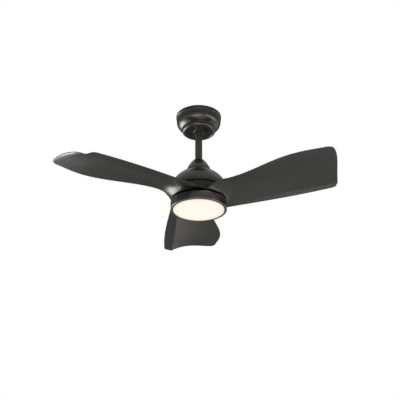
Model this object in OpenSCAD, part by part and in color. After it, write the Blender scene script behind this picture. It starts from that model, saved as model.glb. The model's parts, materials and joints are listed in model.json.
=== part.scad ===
// Three-blade ceiling fan with a round LED light, hung from a ball joint on a short rod.
// Origin: middle of the mounting bracket's face against the ceiling. +Z points up.
// All sizes are in millimetres. The fan hangs below the origin.

/* [Canopy and bracket] */
// Radius of the canopy's rim at the ceiling
canopy_r = 84; // [76:1:100]
// Height of the canopy
canopy_h = 70; // [70:1:95]
// Radius of the canopy's flat bottom plate
canopy_plate_r = 53; // [51:1:58]
// Sheet thickness of the canopy
canopy_t = 1.2; // [0.8:0.1:2]
// Gap between the rod and the canopy's opening
rod_gap = 2.4; // [2.2:0.1:4]
// Direction of the two canopy screws, turned about the rod
screw_azimuth = -27; // [-90:1:90]
// Distance of each canopy screw from the rod's axis
canopy_screw_r = 35; // [33:1:38]
// Distance between the two ceiling holes of the bracket
ceiling_hole_spacing = 116; // [112:1:124]
// Diameter of the ceiling holes
ceiling_hole_d = 6; // [4:0.5:7]
// Sheet thickness of the bracket
bracket_t = 2.5; // [2:0.5:3]
// Width of the bracket
bracket_w = 36; // [30:1:40]

/* [Hanger] */
// Radius of the hanger ball
ball_r = 24; // [22:0.5:25]
// Depth of the ball's centre below the ceiling
ball_depth = 32; // [28:1:34]
// Outer diameter of the rod
rod_d = 26.4; // [22:0.2:28]
// Wall of the rod
rod_t = 1.5; // [1:0.1:2.5]
// Bare length of the rod between the canopy and the coupling cover
drop = 115; // [60:5:600]
// Diameter of the two cross pins
pin_d = 6; // [4:0.5:7]

/* [Coupling cover and dome] */
// Height of the bell that covers the coupling
cover_h = 54; // [50:1:70]
// Outer radius of the bell at its lower edge
cover_r = 44.5; // [42:0.5:52]
// Outer radius of the bell at its top edge
cover_top_r = 16.5; // [16.5:0.5:20]
// Height of the dome that covers the motor
dome_h = 76; // [70:1:95]
// Radius of the dome's lower edge
dome_r = 104; // [102:1:128]
// Sheet thickness of the bell and the dome
cover_t = 1.5; // [1:0.1:2]

/* [Hub and light] */
// Outer radius of the hub and of the light
hub_r = 100; // [98:1:120]
// Height of the hub wall that the blade roots form
hub_h = 33; // [31:1:45]
// Gap between the turning hub and the dome above it
spin_gap = 1; // [0.6:0.1:2]
// Gap between the turning hub and the light below it
lamp_gap = 4; // [3.5:0.5:8]
// Height of the light's ring
lamp_h = 34; // [32:1:50]
// Width of the ring's lip around the diffuser
lip_w = 9; // [7:0.5:12]
// Wall of the ring
lamp_t = 1.5; // [1:0.1:2.5]

/* [Blades] */
// Radius of the circle that the blade tips sweep
sweep_r = 533; // [440:1:660]
// Direction of the first blade
blade_azimuth = -28.6; // [-180:0.1:180]
// Offset of the leading edge from the blade's own axis, at the tip
lead_offset = 130; // [115:1:140]
// Width of the flat strip along the leading edge
strip_w = 28; // [20:1:36]
// Offset of the trailing edge at its narrowest
waist_offset = 50; // [40:1:60]
// Offset of the trailing edge at its widest
belly_offset = 97; // [75:1:115]
// Height of the trailing edge over the strip, beyond its ramp at the hub
root_rise = 29; // [22:1:29]
// Share of that height that the ramp gives up at the hub
root_ramp = 0.7; // [0:0.05:0.8]
// Height of the trailing edge over the strip, at the tip
tip_rise = 41; // [25:1:60]
// Thickness of a blade in the middle
blade_t = 5; // [4:0.5:6]
// Thickness of a blade at its edges
edge_t = 2.5; // [2:0.5:4]
// Radius of the tip's trailing corner
tip_round = 26; // [12:1:34]

/* [Motor] */
// Radius of the stator
stator_r = 70; // [60:1:72]
// Height of the stator's stack
stator_h = 20; // [14:1:20]
// Gap between the stator and the magnets
air_gap = 0.8; // [0.5:0.1:1.2]
// Thickness of a magnet
magnet_t = 4; // [3:0.5:5]
// Number of stator teeth
teeth = 12; // [6:3:12]
// Number of magnets
magnets = 14; // [8:2:20]
// Height of the rotor's casing
rotor_h = 50; // [50:1:52]
// Diameter of the hollow shaft
shaft_d = 17; // [15:0.5:17]

/* [Hidden] */
$fn = 96;

// Clearances
fit = 0.05;          // radial, where one piece turns in another
seat_gap = 0.3;      // between the ball and its seat
slip = 0.1;          // radial, between pieces that are pushed together
cable_gap = 0.7;     // between the leads and the rod's bore or the pins
eps = 0.01;

// Heights, from the ceiling down
z_plate = -canopy_h;
z_cover_top = z_plate - drop;
z_dome_top = z_cover_top - cover_h;
z_dome_edge = z_dome_top - dome_h;
z_hub_top = z_dome_edge - spin_gap;
z_hub_bottom = z_hub_top - hub_h;
z_lamp_top = z_hub_bottom - lamp_gap;
z_lamp_bottom = z_lamp_top - lamp_h;
z_ball = -ball_depth;

rod_r = rod_d / 2;
rod_bore_r = rod_r - rod_t;
pin_r = pin_d / 2;
shaft_r = shaft_d / 2;
shaft_bore_r = shaft_r - 3.5;
cable_r = min(shaft_bore_r - 1.5, (rod_bore_r - pin_r) / 2 - cable_gap);

// Bearings, of the 17 x 40 x 12 size when the shaft is 17
bearing_w = 12;
bearing_r = shaft_r + 11.5;
race_r = (shaft_r + bearing_r) / 2;
bearing_ball_r = 3.3;
race_t = 3.4;
bearing_balls = 8;

// Shade of each finish
charcoal = [0.17, 0.17, 0.165];
bronze_black = [0.12, 0.11, 0.105];
zinc = [0.72, 0.73, 0.74];
steel = [0.6, 0.61, 0.63];
copper = [0.72, 0.42, 0.22];
opal = [1, 0.96, 0.9];

// ---- Curves ----

// Point on a cubic curve with control points p[0] to p[3]
function cubic(p, t) =
    pow(1 - t, 3) * p[0] + 3 * t * pow(1 - t, 2) * p[1]
    + 3 * t * t * (1 - t) * p[2] + pow(t, 3) * p[3];

// Points of a cubic curve, n pieces long
function cubic_points(p, n) = [for (i = [0:n]) cubic(p, i / n)];

// Points of an arc about c, from angle a to angle b
function arc(c, r, a, b, n) = [for (i = [0:n]) c + r * [cos(a + (b - a) * i / n), sin(a + (b - a) * i / n)]];

function flip(points) = [for (i = [len(points) - 1:-1:0]) points[i]];

// A shell of revolution: the outline and the same outline moved inwards by t
module spun_shell(outer, inner) {
    rotate_extrude() polygon(concat(outer, flip(inner)));
}

// ---- Fasteners ----

// A pan-head screw with its head below, its shank running up from the origin
module screw_up(d, length, head_d, head_h) {
    cylinder(d = d, h = length);
    difference() {
        translate([0, 0, -head_h]) cylinder(d1 = head_d * 0.8, d2 = head_d, h = head_h);
        for (turn = [0, 90])
            rotate([0, 0, turn])
                translate([-head_d * 0.3, -0.6, -head_h - eps]) cube([head_d * 0.6, 1.2, head_h * 0.55]);
    }
}

// The same screw with its head above and its shank running down
module screw_down(d, length, head_d, head_h) {
    mirror([0, 0, 1]) screw_up(d, length, head_d, head_h);
}

// A headless screw along +X from the origin, with a hexagon socket in its outer end
module grub_screw(d, length) {
    rotate([0, 90, 0])
        difference() {
            cylinder(d = d, h = length);
            translate([0, 0, length - d * 0.5]) cylinder(d = d * 0.55, h = d, $fn = 6);
        }
}

// ---- Ceiling bracket and canopy ----

leg_x = 44;                                  // inner face of each leg
leg_bottom = z_plate + canopy_t + 0.3;
seat_h = 16;                                 // height of the seat's collar
seat_mouth_r = rod_r + 4;                    // opening under the ball
seat_r = ball_r + 3.5;
z_seat = z_ball - sqrt(pow(ball_r + seat_gap, 2) - pow(seat_mouth_r, 2)) - 1.5;
shelf_y = 52;                                // depth of the two shelves beside the seat
shelf_gap = 1.5;                             // between the seat and what stands on the shelves
z_shelf = z_seat + bracket_t;
canopy_screw_d = 5;
ground_screw_y = -bracket_w / 2 + 7;

module turned_to_screws() {
    rotate([0, 0, screw_azimuth]) children();
}

// One side of the bracket: ceiling flange, leg and foot
module bracket_side() {
    flange_x = ceiling_hole_spacing / 2 + 9;
    translate([leg_x, -bracket_w / 2, -bracket_t]) cube([flange_x - leg_x, bracket_w, bracket_t]);
    translate([leg_x, -bracket_w / 2, leg_bottom]) cube([bracket_t, bracket_w, -leg_bottom]);
    translate([canopy_screw_r - 7, -bracket_w / 2 + 8, leg_bottom])
        cube([leg_x + bracket_t - canopy_screw_r + 7, bracket_w - 16, bracket_t]);
}

module ceiling_bracket() {
    color(zinc) turned_to_screws() difference() {
        union() {
            for (side = [0, 180]) rotate([0, 0, side]) bracket_side();
            translate([-leg_x - eps, -bracket_w / 2, z_seat]) cube([2 * leg_x + 2 * eps, bracket_w, bracket_t]);
            translate([-30, 0, z_seat]) cube([60, shelf_y, bracket_t]);
            translate([-24, -shelf_y, z_seat]) cube([48, shelf_y, bracket_t]);
            translate([0, 0, z_seat]) cylinder(r = seat_r, h = seat_h);
        }
        translate([0, 0, z_ball]) sphere(r = ball_r + seat_gap);
        translate([0, 0, z_seat - 1]) cylinder(r = seat_mouth_r, h = seat_h);
        translate([0, 0, z_ball - 4]) cylinder(r = ball_r + seat_gap, h = seat_h);
        for (side = [-1, 1]) {
            translate([side * ceiling_hole_spacing / 2, 0, -bracket_t - 1])
                cylinder(d = ceiling_hole_d, h = bracket_t + 2);
            translate([side * canopy_screw_r, 0, leg_bottom - 1])
                cylinder(d = canopy_screw_d + 2 * fit, h = bracket_t + 2);
        }
        translate([leg_x + bracket_t + 8, ground_screw_y, -bracket_t - 1])
            cylinder(d = 4 + 2 * fit, h = bracket_t + 2);
    }
}

// Outline of the canopy: a tall bowl, a step, then a smaller tier with a round rim
function canopy_outline(inset) =
    let (
        r0 = canopy_r - inset,
        tier_r = canopy_plate_r + 9 - inset,
        z_step = z_plate + 17,
        rim = 9 - inset,
        z_bottom = z_plate + inset
    )
    concat(
        [[r0, 0]],
        cubic_points([[r0 - 1.5, -22], [r0 - 3, -36], [tier_r + 13, z_step + 6], [tier_r + 2, z_step + inset * 0.6]], 10),
        [[tier_r, z_step - 1.5 + inset * 0.6]],
        arc([tier_r - rim, z_bottom + rim], rim, 0, -90, 8)
    );

module canopy() {
    opening_r = rod_r + rod_gap;
    color(charcoal) difference() {
        spun_shell(
            concat(canopy_outline(0), [[opening_r, z_plate]]),
            concat(canopy_outline(canopy_t), [[opening_r, z_plate + canopy_t]])
        );
        turned_to_screws() for (side = [-1, 1])
            translate([side * canopy_screw_r, 0, z_plate - 1]) cylinder(d = canopy_screw_d + 0.6, h = 4);
    }
}

module canopy_screws() {
    color(bronze_black) turned_to_screws() for (side = [-1, 1])
        translate([side * canopy_screw_r, 0, z_plate]) screw_up(canopy_screw_d, 10, 9, 2.4);
}

module receiver() {
    y0 = seat_r + shelf_gap;
    color(bronze_black) turned_to_screws() difference() {
        translate([-29, y0, z_shelf]) cube([58, shelf_y - y0 - 1, 20]);
        for (slot = [-2:2])
            translate([slot * 9 - 1.5, y0 + 4, z_shelf + 18.8]) cube([3, shelf_y - y0 - 9, 2]);
    }
}

terminal_pitch = 13;
terminal_y = -seat_r - shelf_gap - 8.5;

module terminal_block() {
    color("ivory") turned_to_screws() difference() {
        translate([-20, terminal_y - 8.5, z_shelf]) cube([40, 17, 15]);
        for (pole = [-1:1]) {
            translate([pole * terminal_pitch, terminal_y, z_shelf + 7]) cylinder(r = 2.6, h = 9);
            translate([pole * terminal_pitch, terminal_y - 10, z_shelf + 5])
                rotate([-90, 0, 0]) cylinder(r = 2, h = 20);
        }
    }
}

module terminal_screws() {
    color("goldenrod") turned_to_screws() for (pole = [-1:1])
        translate([pole * terminal_pitch, terminal_y, z_shelf + 7]) cylinder(r = 2.5, h = 6);
}

module ground_screw() {
    color("green") turned_to_screws()
        translate([leg_x + bracket_t + 8, ground_screw_y, -bracket_t]) screw_up(4, bracket_t - 0.2, 7, 2.5);
}

// ---- Ball, rod and coupling ----

ball_cut = 0.76;                             // half height kept of the ball, as a share of its radius
z_coupling_top = z_cover_top - 5;
socket_depth = 28;
z_rod_bottom = z_coupling_top - socket_depth;
z_rod_top = z_ball + ball_r * ball_cut - 2;
z_coupling_pin = z_coupling_top - 13;
coupling_r = rod_r + 6.5;
flange_r = cover_r - 10.5;
flange_h = 5;
z_flange = z_dome_top - cover_t;             // top of the coupling's flange, under the dome
coupling_foot = 11;
dome_screw_r = flange_r - 6;

module ball_pin() {
    color(steel) translate([-(ball_r - 4), 0, z_ball]) rotate([0, 90, 0]) cylinder(r = pin_r, h = 2 * (ball_r - 4));
}

module hanger_ball() {
    color("dimgray") difference() {
        intersection() {
            translate([0, 0, z_ball]) sphere(r = ball_r);
            translate([-ball_r, -ball_r, z_ball - ball_r * ball_cut]) cube([2 * ball_r, 2 * ball_r, 2 * ball_r * ball_cut]);
        }
        translate([0, 0, z_ball - ball_r]) cylinder(r = rod_r + slip, h = 2 * ball_r);
        translate([-ball_r - 1, 0, z_ball]) rotate([0, 90, 0]) cylinder(r = pin_r + fit, h = 2 * ball_r + 2);
        translate([0, 0, z_ball + 9]) rotate([0, 90, 90]) cylinder(d = 5 + 2 * slip, h = ball_r + 2);
    }
}

module ball_set_screw() {
    color(steel) rotate([0, 0, 90]) translate([rod_r + 0.2, 0, z_ball + 9]) grub_screw(5, 7);
}

module downrod() {
    color(charcoal) difference() {
        translate([0, 0, z_rod_bottom]) cylinder(r = rod_r, h = z_rod_top - z_rod_bottom);
        translate([0, 0, z_rod_bottom - 1]) cylinder(r = rod_bore_r, h = z_rod_top - z_rod_bottom + 2);
        for (z = [z_ball, z_coupling_pin])
            translate([-rod_r - 1, 0, z]) rotate([0, 90, 0]) cylinder(r = pin_r + fit, h = 2 * rod_r + 2);
    }
}

module motor_coupling() {
    color("gray") difference() {
        union() {
            translate([0, 0, z_flange - eps]) cylinder(r = coupling_r, h = z_coupling_top - z_flange + eps);
            translate([0, 0, z_flange - flange_h]) cylinder(r = flange_r, h = flange_h);
            translate([0, 0, z_flange - flange_h - coupling_foot]) cylinder(r = shaft_r + 7, h = coupling_foot + eps);
        }
        translate([0, 0, z_rod_bottom]) cylinder(r = rod_r + slip, h = socket_depth + 1);
        translate([0, 0, z_flange - flange_h - coupling_foot - 1]) cylinder(r = shaft_r, h = z_shaft_top - z_flange + flange_h + coupling_foot + 1);
        translate([0, 0, z_shaft_top - 1]) cylinder(r = rod_bore_r, h = z_rod_bottom - z_shaft_top + 2);
        translate([-coupling_r - 1, 0, z_coupling_pin]) rotate([0, 90, 0]) cylinder(r = pin_r + fit, h = 2 * coupling_r + 2);
        for (side = [0, 180])
            rotate([0, 0, 90 + side]) translate([0, 0, z_coupling_top - 21])
                rotate([0, 90, 0]) cylinder(d = 5 + 2 * slip, h = coupling_r + 1);
        for (turn = [0:120:240])
            rotate([0, 0, turn + 60]) translate([dome_screw_r, 0, z_flange - flange_h - 1])
                cylinder(d = 4 + 2 * fit, h = flange_h + 2);
        for (turn = [0:120:240])
            rotate([0, 0, turn]) translate([dome_screw_r, 0, z_flange - flange_h - 1])
                cylinder(d = 3 + 2 * fit, h = flange_h + 2);
    }
}

module coupling_pin() {
    reach = coupling_r + 3.5;
    color(steel) difference() {
        union() {
            translate([-coupling_r - 2, 0, z_coupling_pin]) rotate([0, 90, 0]) cylinder(r = pin_r, h = coupling_r + 2 + reach);
            translate([-coupling_r - 2, 0, z_coupling_pin]) rotate([0, 90, 0]) cylinder(r = pin_r + 1.5, h = 1.8);
        }
        translate([coupling_r + 1.5, 0, z_coupling_pin - pin_r - 1]) cylinder(r = 0.8, h = 2 * pin_r + 2);
    }
}

// A hairpin clip through the end of the coupling pin
module coupling_pin_clip() {
    x = coupling_r + 1.5;
    color(steel) {
        translate([x, 0, z_coupling_pin - pin_r - 2.5]) cylinder(r = 0.7, h = 2 * pin_r + 6);
        translate([x, pin_r + 1.7, z_coupling_pin - pin_r + 1]) cylinder(r = 0.7, h = 2 * pin_r + 2.5);
        translate([x, 0, z_coupling_pin + pin_r + 3.5]) rotate([0, 90, 0]) rotate([0, 0, 90])
            translate([(pin_r + 1.7) / 2, 0, 0]) rotate_extrude(angle = 180) translate([(pin_r + 1.7) / 2, 0]) circle(r = 0.7);
    }
}

module coupling_set_screws() {
    color(steel) for (side = [0, 180])
        rotate([0, 0, 90 + side]) translate([rod_r + 0.2, 0, z_coupling_top - 21]) grub_screw(5, 6);
}

// The leads run beside both pins, then bend over into the shaft's bore
cable_side = rod_bore_r - cable_r - cable_gap;
bend_r = 16;
bend_angle = acos(1 - cable_side / (2 * bend_r));
bend_h = 2 * bend_r * sin(bend_angle);
z_bend_top = z_coupling_pin - pin_r - 1;
z_bend_bottom = z_bend_top - bend_h;
z_shaft_top = z_bend_bottom;
z_shaft_end = z_lamp_top - 10;

// Rings of the leads from top to bottom, each [offset, height, lean]
cable_rings = concat(
    [[cable_side, z_rod_top + 3, 0]],
    [for (a = [0:6]) let (t = bend_angle * a / 6)
        [cable_side - bend_r * (1 - cos(t)), z_bend_top - bend_r * sin(t), t]],
    [for (a = [5:-1:0]) let (t = bend_angle * a / 6)
        [bend_r * (1 - cos(t)), z_bend_bottom + bend_r * sin(t), t]],
    [[0, z_shaft_end - 0.5, 0]]
);
cable_sides = 12;

module lead_cable() {
    n = cable_sides;
    last = len(cable_rings) - 1;
    color("white") polyhedron(
        points = [
            for (ring = cable_rings, k = [0:n - 1]) let (x = cable_r * cos(k * 360 / n), w = cable_r * sin(k * 360 / n))
                [x, ring[0] + w * cos(ring[2]), ring[1] - w * sin(ring[2])]
        ],
        faces = concat(
            [[for (k = [n - 1:-1:0]) k], [for (k = [0:n - 1]) last * n + k]],
            [for (i = [0:last - 1], k = [0:n - 1]) let (m = (k + 1) % n)
                [i * n + k, i * n + m, (i + 1) * n + m, (i + 1) * n + k]]
        )
    );
}

// ---- Covers ----

function cover_outline(inset) =
    cubic_points([
        [cover_top_r - inset, z_cover_top],
        [cover_top_r + 10 - inset, z_cover_top - 8],
        [cover_r + 3.5 - inset, z_dome_top + 13],
        [cover_r - inset, z_dome_top]
    ], 10);

module coupling_cover() {
    color(charcoal) spun_shell(cover_outline(0), cover_outline(cover_t));
}

function dome_outline(inset) =
    cubic_points([
        [cover_r + 1.5, z_dome_top - inset],
        [cover_r + 15.5 - inset * 0.5, z_dome_top - 2 - inset],
        [dome_r - 1 - inset, z_dome_edge + 44],
        [dome_r - inset, z_dome_edge]
    ], 12);

module dome_cover() {
    opening_r = coupling_r + 0.5;
    color(charcoal) difference() {
        spun_shell(
            concat([[opening_r, z_dome_top]], dome_outline(0)),
            concat([[opening_r, z_dome_top - cover_t]], dome_outline(cover_t))
        );
        for (turn = [0:120:240])
            rotate([0, 0, turn + 60]) translate([dome_screw_r, 0, z_dome_top - cover_t - 1])
                cylinder(d = 4 + 2 * fit, h = cover_t + 2);
    }
}

module dome_screws() {
    color(steel) for (turn = [0:120:240])
        rotate([0, 0, turn + 60]) translate([dome_screw_r, 0, z_dome_top]) screw_down(4, cover_t + flange_h + 2, 7, 2.2);
}

// ---- Motor controller, under the dome ----

board_drop = 12;
z_board = z_flange - flange_h - board_drop;
board_t = 1.6;
board_r = flange_r + 12;

module board_spacers() {
    color("ivory") for (turn = [0:120:240])
        rotate([0, 0, turn]) translate([dome_screw_r, 0, z_board - board_t - 2]) {
            translate([0, 0, board_t + 2]) cylinder(r = 3, h = board_drop);
            cylinder(r = 1.5, h = board_t + 2 + eps);
        }
}

module controller_board() {
    color("darkgreen") difference() {
        translate([0, 0, z_board - board_t]) cylinder(r = board_r, h = board_t);
        translate([0, 0, z_board - board_t - 1]) cylinder(r = shaft_r + 9, h = board_t + 2);
        for (turn = [0:120:240])
            rotate([0, 0, turn]) translate([dome_screw_r, 0, z_board - board_t - 1]) cylinder(r = 1.5 + slip, h = board_t + 2);
    }
}

module controller_parts() {
    color(bronze_black) {
        for (turn = [20:24:332])
            rotate([0, 0, turn]) translate([board_r - 9, -4, z_board]) cube([7, 8, 2.2]);
        for (turn = [40, 180, 300])
            rotate([0, 0, turn]) translate([board_r - 15, 0, z_board]) cylinder(r = 4, h = 8);
        for (turn = [100:60:220])
            rotate([0, 0, turn]) translate([board_r - 17, -3, z_board - board_t - 3]) cube([10, 6, 3]);
    }
}

// ---- Motor ----

blade_flange_drop = 4;
blade_flange_t = 4;
z_rotor_bottom = z_hub_bottom + blade_flange_drop + blade_flange_t;
z_rotor_top = z_rotor_bottom + rotor_h;
z_rotor_split = z_rotor_bottom + rotor_h / 2;
z_stator = z_rotor_split - stator_h / 2;
shell_t = 4;
magnet_in_r = stator_r + air_gap;
magnet_out_r = magnet_in_r + magnet_t;
flux_r = magnet_out_r + 3;
rotor_in_r = flux_r + slip;
rotor_r = rotor_in_r + shell_t;
ear_r = rotor_r + 4;
rotor_screws_n = 6;
rotor_screw_d = 4;
shoulder_r = shaft_r + 3;
lamp_plate_t = 2;

module motor_shaft() {
    low = z_rotor_bottom + bearing_w;
    high = z_rotor_top - bearing_w;
    color(steel) difference() {
        union() {
            translate([0, 0, z_shaft_end]) cylinder(r = shaft_r, h = z_shaft_top - z_shaft_end);
            translate([0, 0, low]) cylinder(r = shoulder_r, h = high - low);
        }
        translate([0, 0, z_shaft_end - 1]) cylinder(r = shaft_bore_r, h = z_shaft_top - z_shaft_end + 2);
    }
}

tooth_root_r = 40;
tooth_w = 9;
shoe_t = 5;

shoe_angle = 360 / teeth - 4;

// Outline of one pole shoe, a short arc at the air gap
module shoe_outline() {
    intersection() {
        difference() {
            circle(r = stator_r);
            circle(r = stator_r - shoe_t);
        }
        polygon([[0, 0], 2 * stator_r * [cos(shoe_angle / 2), -sin(shoe_angle / 2)], 2 * stator_r * [cos(shoe_angle / 2), sin(shoe_angle / 2)]]);
    }
}

module stator_core() {
    color(steel) translate([0, 0, z_stator]) linear_extrude(stator_h) difference() {
        union() {
            circle(r = tooth_root_r);
            for (k = [0:teeth - 1]) rotate(k * 360 / teeth) {
                translate([tooth_root_r - 4, -tooth_w / 2]) square([stator_r - shoe_t / 2 - tooth_root_r + 4, tooth_w]);
                shoe_outline();
            }
        }
        circle(r = shoulder_r);
        for (turn = [0:60:300]) rotate(turn) translate([25, 0]) circle(r = 6);
    }
}

coil_t = 4.6;

module stator_windings() {
    color(copper) for (k = [0:teeth - 1]) rotate([0, 0, k * 360 / teeth])
        difference() {
            translate([tooth_root_r + 1.5, -tooth_w / 2 - coil_t, z_stator - coil_t])
                cube([stator_r - shoe_t - tooth_root_r - 3, tooth_w + 2 * coil_t, stator_h + 2 * coil_t]);
            translate([tooth_root_r, -tooth_w / 2 - slip, z_stator - slip])
                cube([stator_r - tooth_root_r, tooth_w + 2 * slip, stator_h + 2 * slip]);
        }
}

// A ring of a bearing, with the groove that its balls run in
module bearing_ring(r_in, r_out, z) {
    difference() {
        translate([0, 0, z]) cylinder(r = r_out, h = bearing_w);
        translate([0, 0, z - 1]) cylinder(r = r_in, h = bearing_w + 2);
        translate([0, 0, z + bearing_w / 2]) rotate_extrude() translate([race_r, 0]) circle(r = bearing_ball_r + slip);
    }
}

// Balls of a bearing with the flat cage between them
module bearing_balls_at(z) {
    translate([0, 0, z + bearing_w / 2]) {
        for (k = [0:bearing_balls - 1]) rotate([0, 0, k * 360 / bearing_balls]) translate([race_r, 0, 0]) sphere(r = bearing_ball_r);
        translate([0, 0, -0.5]) difference() {
            cylinder(r = race_r + 1, h = 1);
            translate([0, 0, -1]) cylinder(r = race_r - 1, h = 3);
        }
    }
}

z_upper_bearing = z_rotor_top - bearing_w;
z_lower_bearing = z_rotor_bottom;

module upper_bearing_inner() {
    color(steel) bearing_ring(shaft_r, shaft_r + race_t, z_upper_bearing);
}

module lower_bearing_inner() {
    color(steel) bearing_ring(shaft_r, shaft_r + race_t, z_lower_bearing);
}

module upper_bearing_outer() {
    color(steel) bearing_ring(bearing_r - race_t, bearing_r, z_upper_bearing);
}

module lower_bearing_outer() {
    color(steel) bearing_ring(bearing_r - race_t, bearing_r, z_lower_bearing);
}

module upper_bearing_balls() {
    color("gold") bearing_balls_at(z_upper_bearing);
}

module lower_bearing_balls() {
    color("gold") bearing_balls_at(z_lower_bearing);
}

// Half of the rotor's casing, open downwards: plate, bearing hub, wall and screw ears
module rotor_shell_upper_half() {
    difference() {
        union() {
            translate([0, 0, z_rotor_top - shell_t]) cylinder(r = rotor_r, h = shell_t);
            translate([0, 0, z_upper_bearing - 2]) cylinder(r = bearing_r + 4, h = bearing_w + 2);
            difference() {
                translate([0, 0, z_rotor_split]) cylinder(r = rotor_r, h = rotor_h / 2);
                translate([0, 0, z_rotor_split - 1]) cylinder(r = rotor_in_r, h = rotor_h / 2 + 1 - shell_t);
            }
            for (k = [0:rotor_screws_n - 1]) rotate([0, 0, k * 360 / rotor_screws_n])
                translate([ear_r, 0, z_rotor_split]) cylinder(r = 5, h = 6);
        }
        translate([0, 0, z_upper_bearing]) cylinder(r = bearing_r, h = bearing_w + 1);
        translate([0, 0, z_rotor_split - 1]) cylinder(r = bearing_r - 2, h = rotor_h);
        for (k = [0:rotor_screws_n - 1]) rotate([0, 0, k * 360 / rotor_screws_n])
            translate([ear_r, 0, z_rotor_split - 1]) cylinder(d = rotor_screw_d + 2 * fit, h = 8);
    }
}

module rotor_upper_shell() {
    color("silver") rotor_shell_upper_half();
}

module rotor_lower_shell() {
    color("silver") difference() {
        translate([0, 0, 2 * z_rotor_split]) mirror([0, 0, 1]) rotor_shell_upper_half();
        each_blade_screw() translate([0, 0, z_rotor_bottom - 1]) cylinder(d = blade_screw_d + 2 * fit, h = shell_t + 2);
    }
}

module flux_ring() {
    color(steel) difference() {
        translate([0, 0, z_stator - 1]) cylinder(r = flux_r, h = stator_h + 2);
        translate([0, 0, z_stator - 2]) cylinder(r = magnet_out_r + fit, h = stator_h + 4);
    }
}

module rotor_magnets() {
    span = 360 / magnets - 3;
    color("dimgray") for (k = [0:magnets - 1])
        rotate([0, 0, k * 360 / magnets]) translate([0, 0, z_stator - 1])
            rotate_extrude(angle = span) translate([magnet_in_r, 0]) square([magnet_t, stator_h + 2]);
}

module rotor_screws() {
    color(steel) for (k = [0:rotor_screws_n - 1]) rotate([0, 0, k * 360 / rotor_screws_n])
        translate([ear_r, 0, z_rotor_split - 6]) screw_up(rotor_screw_d, 11.5, 7, 2);
}

module shaft_spacer() {
    color(steel) difference() {
        translate([0, 0, z_lamp_top + lamp_plate_t]) cylinder(r = shaft_r + 3, h = z_rotor_bottom - z_lamp_top - lamp_plate_t);
        translate([0, 0, z_lamp_top]) cylinder(r = shaft_r, h = 50);
    }
}

// ---- Light ----

lamp_plate_r = 56;
lamp_screw_r = 42;
lamp_screw_d = 4;
nut_h = 6;
lens_r = hub_r - lip_w;                      // recess that the diffuser fills
lens_gap = 0.5;
ledge_w = 5;                                 // ledge over the diffuser's rim
lens_t = 2.5;
lug_reach = 3;
lug_angle = 12;
lug_t = 2.5;
twist = 20;                                  // turn between locked and free
standoff_r = 62;
standoff_h = 10;
z_led = z_lamp_top - lamp_t - standoff_h;
led_t = 1.6;

module lamp_plate() {
    color(zinc) difference() {
        translate([0, 0, z_lamp_top]) cylinder(r = lamp_plate_r, h = lamp_plate_t);
        translate([0, 0, z_lamp_top - 1]) cylinder(r = shaft_r, h = lamp_plate_t + 2);
        for (turn = [0:120:240])
            rotate([0, 0, turn]) translate([lamp_screw_r, 0, z_lamp_top - 1]) cylinder(d = lamp_screw_d + 2 * fit, h = lamp_plate_t + 2);
    }
}

module shaft_nut() {
    color(zinc) difference() {
        translate([0, 0, z_lamp_top - nut_h]) cylinder(r = shaft_r + 6.5, h = nut_h, $fn = 6);
        translate([0, 0, z_lamp_top - nut_h - 1]) cylinder(r = shaft_r, h = nut_h + 2);
    }
}

z_ledge = z_lamp_bottom + lens_t + seat_gap;
throat_r = lens_r - ledge_w;

// Spun pan with a round shoulder above, a turned-in lip below and a notched ledge inside the lip
module lamp_housing() {
    shoulder = 3;
    color(bronze_black) difference() {
        rotate_extrude() polygon(concat(
            [[shaft_r + 13, z_lamp_top]],
            arc([hub_r - shoulder, z_lamp_top - shoulder], shoulder, 90, 0, 6),
            arc([hub_r - 1, z_lamp_bottom + 1], 1, 0, -90, 4),
            [[lens_r, z_lamp_bottom], [lens_r, z_ledge], [throat_r, z_ledge], [throat_r, z_ledge + lamp_t]],
            [[lens_r + lamp_t, z_ledge + lamp_t], [lens_r + lamp_t, z_lamp_bottom + lamp_t]],
            [[hub_r - lamp_t, z_lamp_bottom + lamp_t]],
            arc([hub_r - shoulder, z_lamp_top - shoulder], shoulder - lamp_t, 0, 90, 4),
            [[shaft_r + 13, z_lamp_top - lamp_t]]
        ));
        for (turn = [0:120:240]) {
            rotate([0, 0, turn + twist - lug_angle / 2 - 2]) translate([0, 0, z_ledge - 1])
                rotate_extrude(angle = lug_angle + 4) translate([throat_r - 1, 0]) square([lug_reach + 1.6, lamp_t + 2]);
            rotate([0, 0, turn]) translate([lamp_screw_r, 0, z_lamp_top - lamp_t - 1]) cylinder(d = lamp_screw_d + 0.4, h = lamp_t + 2);
            rotate([0, 0, turn + 60]) translate([standoff_r, 0, z_lamp_top - lamp_t - 1]) cylinder(d = 3 + 2 * fit, h = lamp_t + 2);
        }
    }
}

module lamp_screws() {
    color(steel) for (turn = [0:120:240])
        rotate([0, 0, turn]) translate([lamp_screw_r, 0, z_lamp_top - lamp_t]) screw_up(lamp_screw_d, lamp_t + lamp_plate_t + 0.5, 7.5, 2.4);
}

module led_standoffs() {
    color(zinc) for (turn = [0:120:240])
        rotate([0, 0, turn + 60]) translate([standoff_r, 0, z_led]) {
            difference() {
                cylinder(r = 3.5, h = standoff_h, $fn = 6);
                translate([0, 0, -1]) cylinder(r = 1.5, h = 7);
            }
            translate([0, 0, standoff_h - eps]) cylinder(r = 1.5, h = lamp_t);
        }
}

module led_board() {
    color("white") difference() {
        translate([0, 0, z_led - led_t]) cylinder(r = lens_r - 9, h = led_t);
        for (turn = [0:120:240])
            rotate([0, 0, turn + 60]) translate([standoff_r, 0, z_led - led_t - 1]) cylinder(r = 1.5 + slip, h = led_t + 2);
    }
}

module led_screws() {
    color(steel) for (turn = [0:120:240])
        rotate([0, 0, turn + 60]) translate([standoff_r, 0, z_led - led_t]) screw_up(3 - 2 * fit, led_t + 4, 5.5, 1.8);
}

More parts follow.
